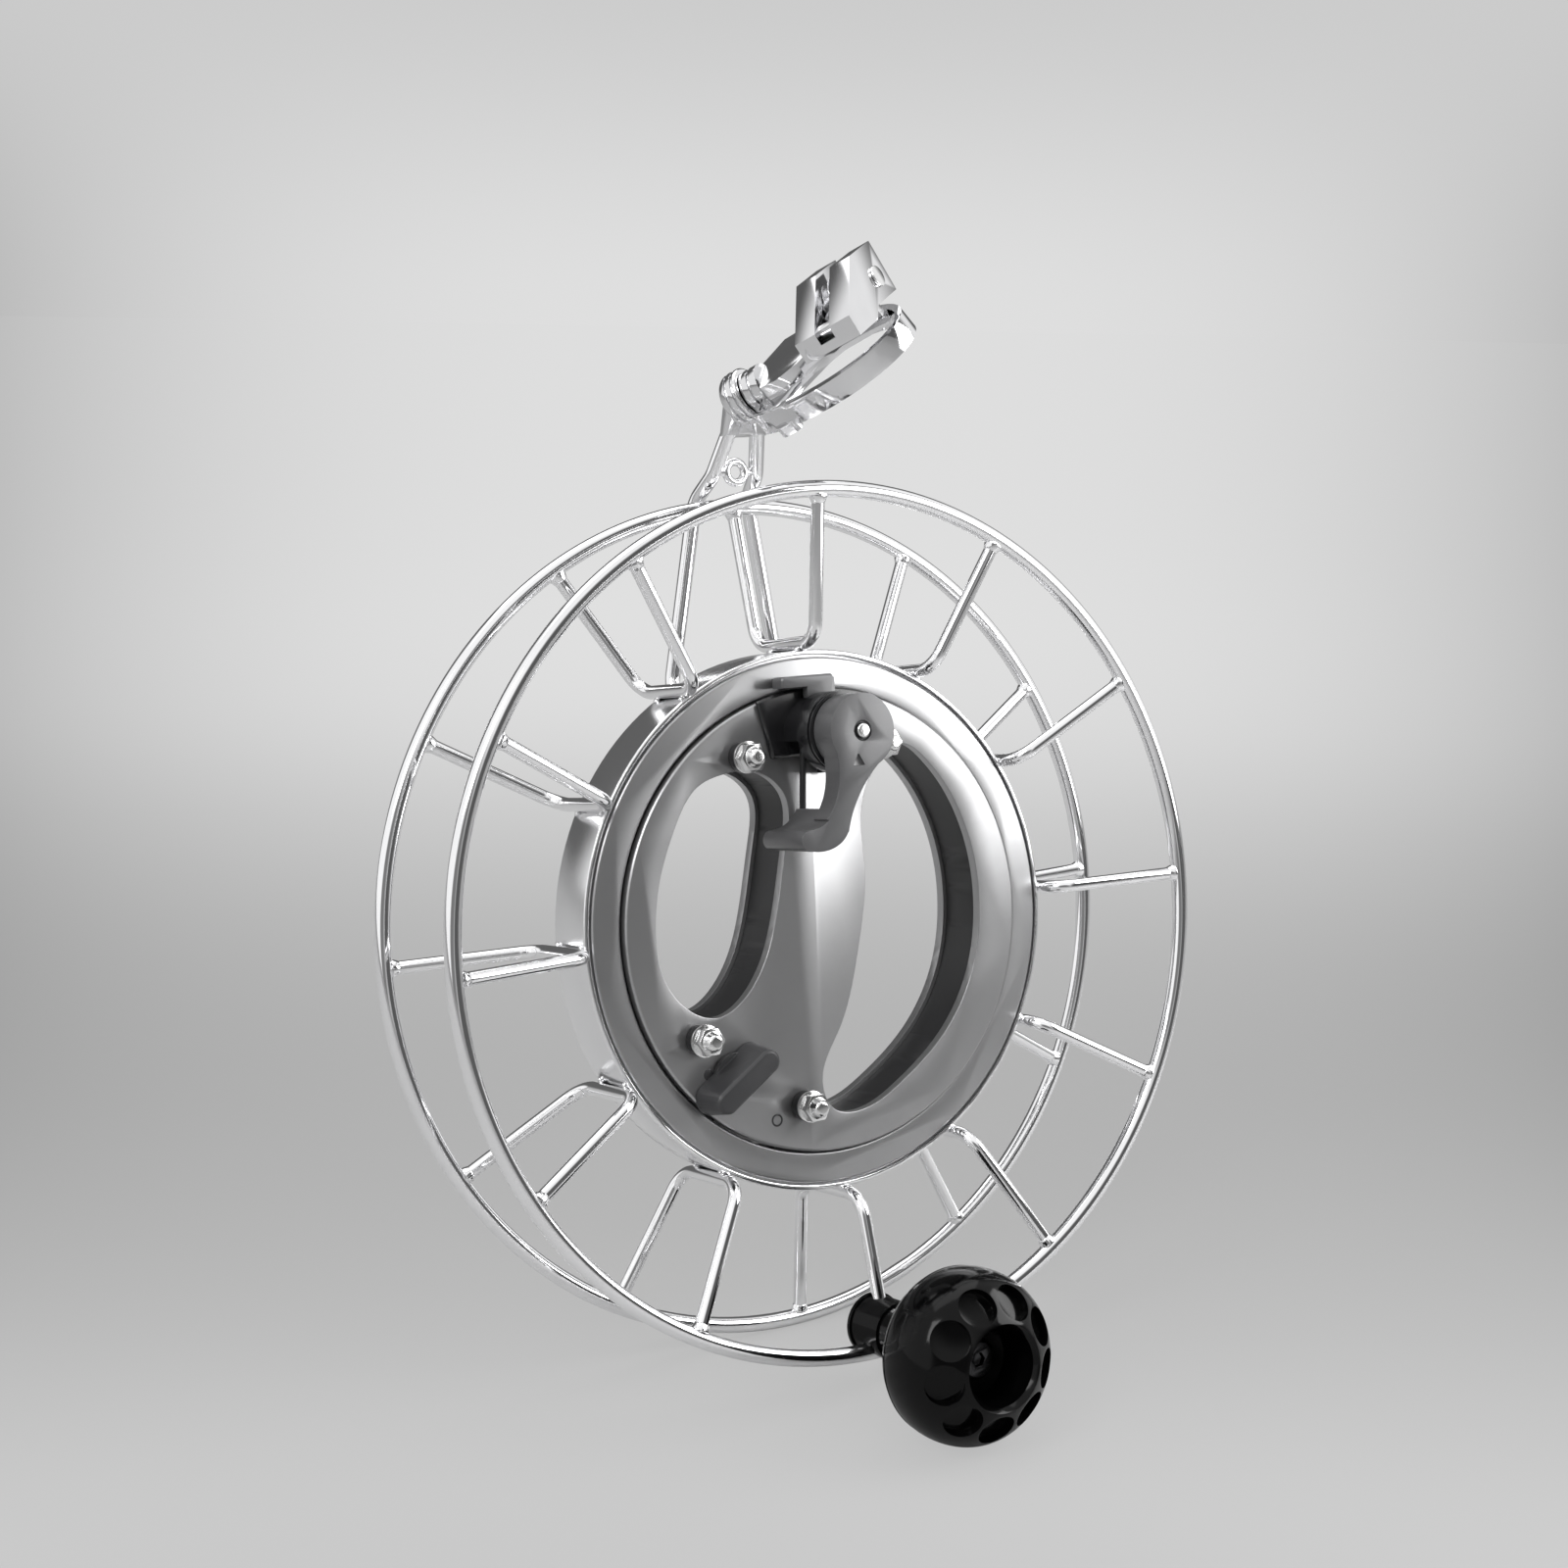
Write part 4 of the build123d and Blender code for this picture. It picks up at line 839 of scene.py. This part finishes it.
@dataclass
class GuideArm:
    """The clamp, both wires, the eye and the knuckle."""

    bench: Workbench

    def build(self) -> None:
        """Model and dress the arm."""
        self.bench.skin("arm_clamp", CORE_BLACK, 0.4, 3)
        self.bench.skin("clamp_screws", FASTENER_STEEL, 0.2, 2)
        for node in ("arm_wire_left", "arm_wire_right"):
            self.bench.skin(node, WIRE_STEEL, angle=50)
        self.bench.skin("arm_eye", WIRE_STEEL, 0.2, 2, 60)
        self.bench.skin("guide_knuckle", HEAD_CHROME, 0.35, 3, 40)
        self.bench.skin("head_pivot", FASTENER_STEEL, 0.2, 2)


@dataclass
class GuideHead:
    """The swivelling line guide with its pulley."""

    bench: Workbench

    def build(self) -> None:
        """Dress the head."""
        self.bench.skin("head_frame", HEAD_CHROME, 0.4, 3, 35)
        self.bench.skin("pulley_pin", FASTENER_STEEL, 0.2, 2)
        self.bench.skin("guide_pulley", RACE_STEEL, 0.15, 2)


@dataclass
class CrankKnob:
    """The glossy knob with its dimples and its moulding line."""

    bench: Workbench
    centre: float = -112.5
    line_height: float = -54.1
    line_radius: float = 22.25
    line_wire: float = 0.3
    line_squash: float = 0.7

    def build(self) -> None:
        """Model and dress the knob."""
        self.bench.skin("crank_knob", KNOB_BLACK, 0.35, 3, 32)
        place = (0, self.line_height * MM, self.centre * MM)
        self.bench.clear()
        bpy.ops.mesh.primitive_torus_add(
            location=place,
            rotation=TO_FRONT,
            major_radius=self.line_radius * MM,
            minor_radius=self.line_wire * MM,
            major_segments=96,
            minor_segments=8,
        )
        line = bpy.context.object
        self.bench.settle(line)
        bpy.ops.object.mode_set(mode="EDIT")
        bpy.ops.mesh.select_all(action="SELECT")
        bpy.ops.transform.resize(value=(1.0, self.line_squash, 1.0), center_override=place)
        bpy.ops.object.mode_set(mode="OBJECT")
        self.bench.smooth(line, 60)
        self.bench.hand_over(line, "knob_part_line", "crank_knob", KNOB_BLACK)


class Studio:
    """Floor, lamps, world and camera."""

    def axes(self) -> Matrix:
        """Turn and place of the floor under the leaning winder."""
        up = STAGE_NORMAL
        across = Vector((1, 0, 0))
        back = up.cross(across)
        turn = Matrix((across, back, up)).transposed().to_4x4()
        return Matrix.Translation(-up * STAGE_DEPTH) @ turn

    def ground(self) -> tuple[Vector, Vector]:
        """The camera's foot on the floor and its ground direction to the right."""
        up = STAGE_NORMAL
        foot = EYE - up * (EYE.dot(up) + STAGE_DEPTH)
        ahead = (AHEAD - up * AHEAD.dot(up)).normalized()
        return foot, ahead.cross(up).normalized()

    @staticmethod
    def fall_off(desk: NodeDesk, side: bpy.types.NodeSocket) -> bpy.types.NodeSocket:
        """Share of light that the backdrop loses towards both sides.

        Args:
            desk: The desk of the shader.
            side: Sideways part of the direction, 0 in the middle.

        Returns:
            The share, 0 in the middle.
        """
        reach = desk.math("MULTIPLY", desk.math("ABSOLUTE", side), SIDE_REACH)
        return desk.math("MULTIPLY", desk.math("POWER", reach, SIDE_POWER), SIDE_LOSS)

    @staticmethod
    def along(desk: NodeDesk, look: bpy.types.NodeSocket, way: Vector) -> bpy.types.NodeSocket:
        """Part of a direction along another.

        Args:
            desk: The desk of the shader.
            look: The direction's socket.
            way: The fixed direction.

        Returns:
            Their dot product.
        """
        dot = desk.add("ShaderNodeVectorMath", operation="DOT_PRODUCT")
        dot.inputs[1].default_value = way
        desk.join(look, dot.inputs[0])
        return dot.outputs["Value"]

    @staticmethod
    def step(
        desk: NodeDesk, value: bpy.types.NodeSocket, low: float, high: float
    ) -> bpy.types.NodeSocket:
        """Soft step of a value from 0 at low to 1 at high.

        Args:
            desk: The desk of the shader.
            value: The value's socket.
            low: Where the step is 0.
            high: Where the step is 1.

        Returns:
            The step's socket.
        """
        node = desk.add("ShaderNodeMapRange", interpolation_type="SMOOTHSTEP")
        node.inputs["From Min"].default_value = low
        node.inputs["From Max"].default_value = high
        desk.join(value, node.inputs["Value"])
        return node.outputs["Result"]

    @staticmethod
    def seen_or_lit(
        desk: NodeDesk, seen: bpy.types.Node, lit: bpy.types.Node, end: bpy.types.Node
    ) -> None:
        """Show one shader to the camera and another to everything else.

        Args:
            desk: The desk of the shader.
            seen: The shader for the camera.
            lit: The shader for reflections and light.
            end: The output node.
        """
        path = desk.add("ShaderNodeLightPath")
        pick = desk.add("ShaderNodeMixShader")
        desk.join(path.outputs["Is Camera Ray"], pick.inputs[0])
        desk.join(lit.outputs[0], pick.inputs[1])
        desk.join(seen.outputs[0], pick.inputs[2])
        desk.join(pick.outputs[0], end.inputs["Surface"])

    def paper(self) -> bpy.types.Material:
        """Material of the floor, glowing with painted light and shade in front of the winder.

        Returns:
            The material.
        """
        cover = bpy.data.materials.new("sweep_paper")
        cover.use_nodes = True
        desk = NodeDesk(cover.node_tree)
        foot, right = self.ground()
        offset = desk.add("ShaderNodeVectorMath", operation="SUBTRACT")
        offset.inputs[1].default_value = foot
        desk.join(desk.add("ShaderNodeNewGeometry").outputs["Position"], offset.inputs[0])
        span = desk.add("ShaderNodeVectorMath", operation="LENGTH")
        desk.join(offset.outputs[0], span.inputs[0])
        heading = desk.add("ShaderNodeVectorMath", operation="NORMALIZE")
        desk.join(offset.outputs[0], heading.inputs[0])
        side = self.along(desk, heading.outputs[0], right)
        depth = desk.math("DIVIDE", TONE_REACH, span.outputs["Value"])
        # Painted light and shade: the ramp sets how bright the glowing floor looks at each
        # distance from the camera's foot.
        ramp = desk.add("ShaderNodeValToRGB")
        ramp.color_ramp.interpolation = "B_SPLINE"
        painted_stops = ramp.color_ramp.elements
        for index, (spot, tone) in enumerate(PAINTED_FLOOR_LIGHT):
            stop = painted_stops[index] if index < 2 else painted_stops.new(spot)
            stop.position = spot
            stop.color = (tone, tone, tone, 1)
        desk.join(depth, ramp.inputs[0])
        far = self.step(desk, depth, LOSS_NEAR, LOSS_FAR)
        loss = desk.math("MULTIPLY", self.fall_off(desk, side), far)
        shade = desk.math("MULTIPLY", ramp.outputs[0], desk.math("SUBTRACT", 1.0, loss))
        # The floor the camera sees glows with the painted ramp and painted side fall-off, with
        # only a small lit share.
        glow = desk.add("ShaderNodeEmission")
        glow.inputs["Strength"].default_value = PAPER_GLOW
        desk.join(shade, glow.inputs["Color"])
        matt = desk.add("ShaderNodeBsdfDiffuse")
        matt.inputs["Color"].default_value = (PAPER_SHARE, PAPER_SHARE, PAPER_SHARE, 1)
        seen = desk.add("ShaderNodeAddShader")
        desk.join(glow.outputs[0], seen.inputs[0])
        desk.join(matt.outputs[0], seen.inputs[1])
        bounce = desk.add("ShaderNodeBsdfDiffuse")
        bounce.inputs["Color"].default_value = (PAPER_BOUNCE, PAPER_BOUNCE, PAPER_BOUNCE, 1)
        self.seen_or_lit(desk, seen, bounce, desk.add("ShaderNodeOutputMaterial"))
        return cover

    def floor(self) -> None:
        """Lay a wide pale floor."""
        bpy.ops.object.select_all(action="DESELECT")
        bpy.ops.mesh.primitive_plane_add(size=1.0, location=(0, 0, 0))
        sweep = bpy.context.object
        sweep.name = "studio_sweep"
        bpy.ops.object.mode_set(mode="EDIT")
        bpy.ops.mesh.select_all(action="SELECT")
        bpy.ops.transform.resize(value=(FLOOR_SPAN, FLOOR_SPAN, 1.0))
        bpy.ops.object.mode_set(mode="OBJECT")
        sweep.matrix_world = self.axes()
        sweep.data.materials.append(self.paper())

    def world(self) -> None:
        """Light the room: white all round, dark behind the winder and round the lens."""
        room = bpy.data.worlds.new("studio_room")
        bpy.context.scene.world = room
        room.use_nodes = True
        desk = NodeDesk(room.node_tree)
        look = desk.add("ShaderNodeTexCoord").outputs["Generated"]
        _, right = self.ground()
        room_light = ROOM_LIGHT
        for way, low, high, share in DARK_PATCHES:
            patch = self.along(desk, look, Vector(way).normalized())
            dark = desk.math("MULTIPLY", self.step(desk, patch, low, high), share)
            room_light = desk.math("MULTIPLY", room_light, desk.math("SUBTRACT", 1.0, dark))
        lit = desk.add("ShaderNodeBackground")
        lit.inputs["Color"].default_value = (1.0, 1.0, 1.0, 1)
        desk.join(room_light, lit.inputs["Strength"])
        loss = self.fall_off(desk, self.along(desk, look, right))
        horizon = PAINTED_FLOOR_LIGHT[0][1] * EDGE_LIGHT
        edge = desk.math("MULTIPLY", horizon, desk.math("SUBTRACT", 1.0, loss))
        rise = self.step(desk, self.along(desk, look, STAGE_NORMAL), 0.0, TOP_RISE)
        blend = desk.add("ShaderNodeMix", data_type="FLOAT")
        desk.join(rise, blend.inputs[0])
        desk.join(edge, blend.inputs[2])
        blend.inputs[3].default_value = TOP_TONE
        plain = desk.add("ShaderNodeBackground")
        plain.inputs["Color"].default_value = (1.0, 1.0, 1.0, 1)
        desk.join(blend.outputs[0], plain.inputs["Strength"])
        self.seen_or_lit(desk, plain, lit, desk.add("ShaderNodeOutputWorld"))

    @staticmethod
    def lamp(name: str, at: Sequence[float], size: Sequence[float], power: float) -> None:
        """Hang one softbox that faces the winder.

        Args:
            name: Its name.
            at: Its place in metres.
            size: Its width and height in metres.
            power: Its power in watts.
        """
        light = bpy.data.lights.new(name, "AREA")
        light.shape = "RECTANGLE"
        light.size, light.size_y = size
        light.energy = power
        holder = bpy.data.objects.new(name, light)
        bpy.context.scene.collection.objects.link(holder)
        holder.location = at
        holder.visible_camera = False
        holder.rotation_euler = (-Vector(at)).to_track_quat("-Z", "Y").to_euler()

    @staticmethod
    def camera() -> None:
        """Set the camera where the photograph was taken."""
        lens = bpy.data.cameras.new("camera")
        lens.sensor_width = 36.0
        lens.sensor_fit = "HORIZONTAL"
        lens.lens = FOCAL_LENGTH
        lens.clip_start = 0.05
        lens.clip_end = 60.0
        eye = bpy.data.objects.new("camera", lens)
        bpy.context.scene.collection.objects.link(eye)
        turn = Matrix((RIGHT, ABOVE, -AHEAD)).transposed().to_4x4()
        eye.matrix_world = Matrix.Translation(EYE) @ turn
        bpy.context.scene.camera = eye

    def build(self) -> None:
        """Set up the whole studio."""
        self.floor()
        self.world()
        for box in SOFTBOXES:
            self.lamp(*box)
        self.camera()
        bpy.context.scene.view_settings.view_transform = "Standard"


def main() -> None:
    """Load the frame, set up the studio and build each sub-assembly."""
    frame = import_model()
    bench = Workbench(frame, FinishShop())
    Studio().build()
    for unit in (
        WireWheel(bench),
        HubShell(bench),
        BrakeUnit(bench),
        LockUnit(bench),
        GuideArm(bench),
        GuideHead(bench),
        CrankKnob(bench),
    ):
        unit.build()
        LOG.info("%s is done", type(unit).__name__)


if __name__ == "__main__":
    main()
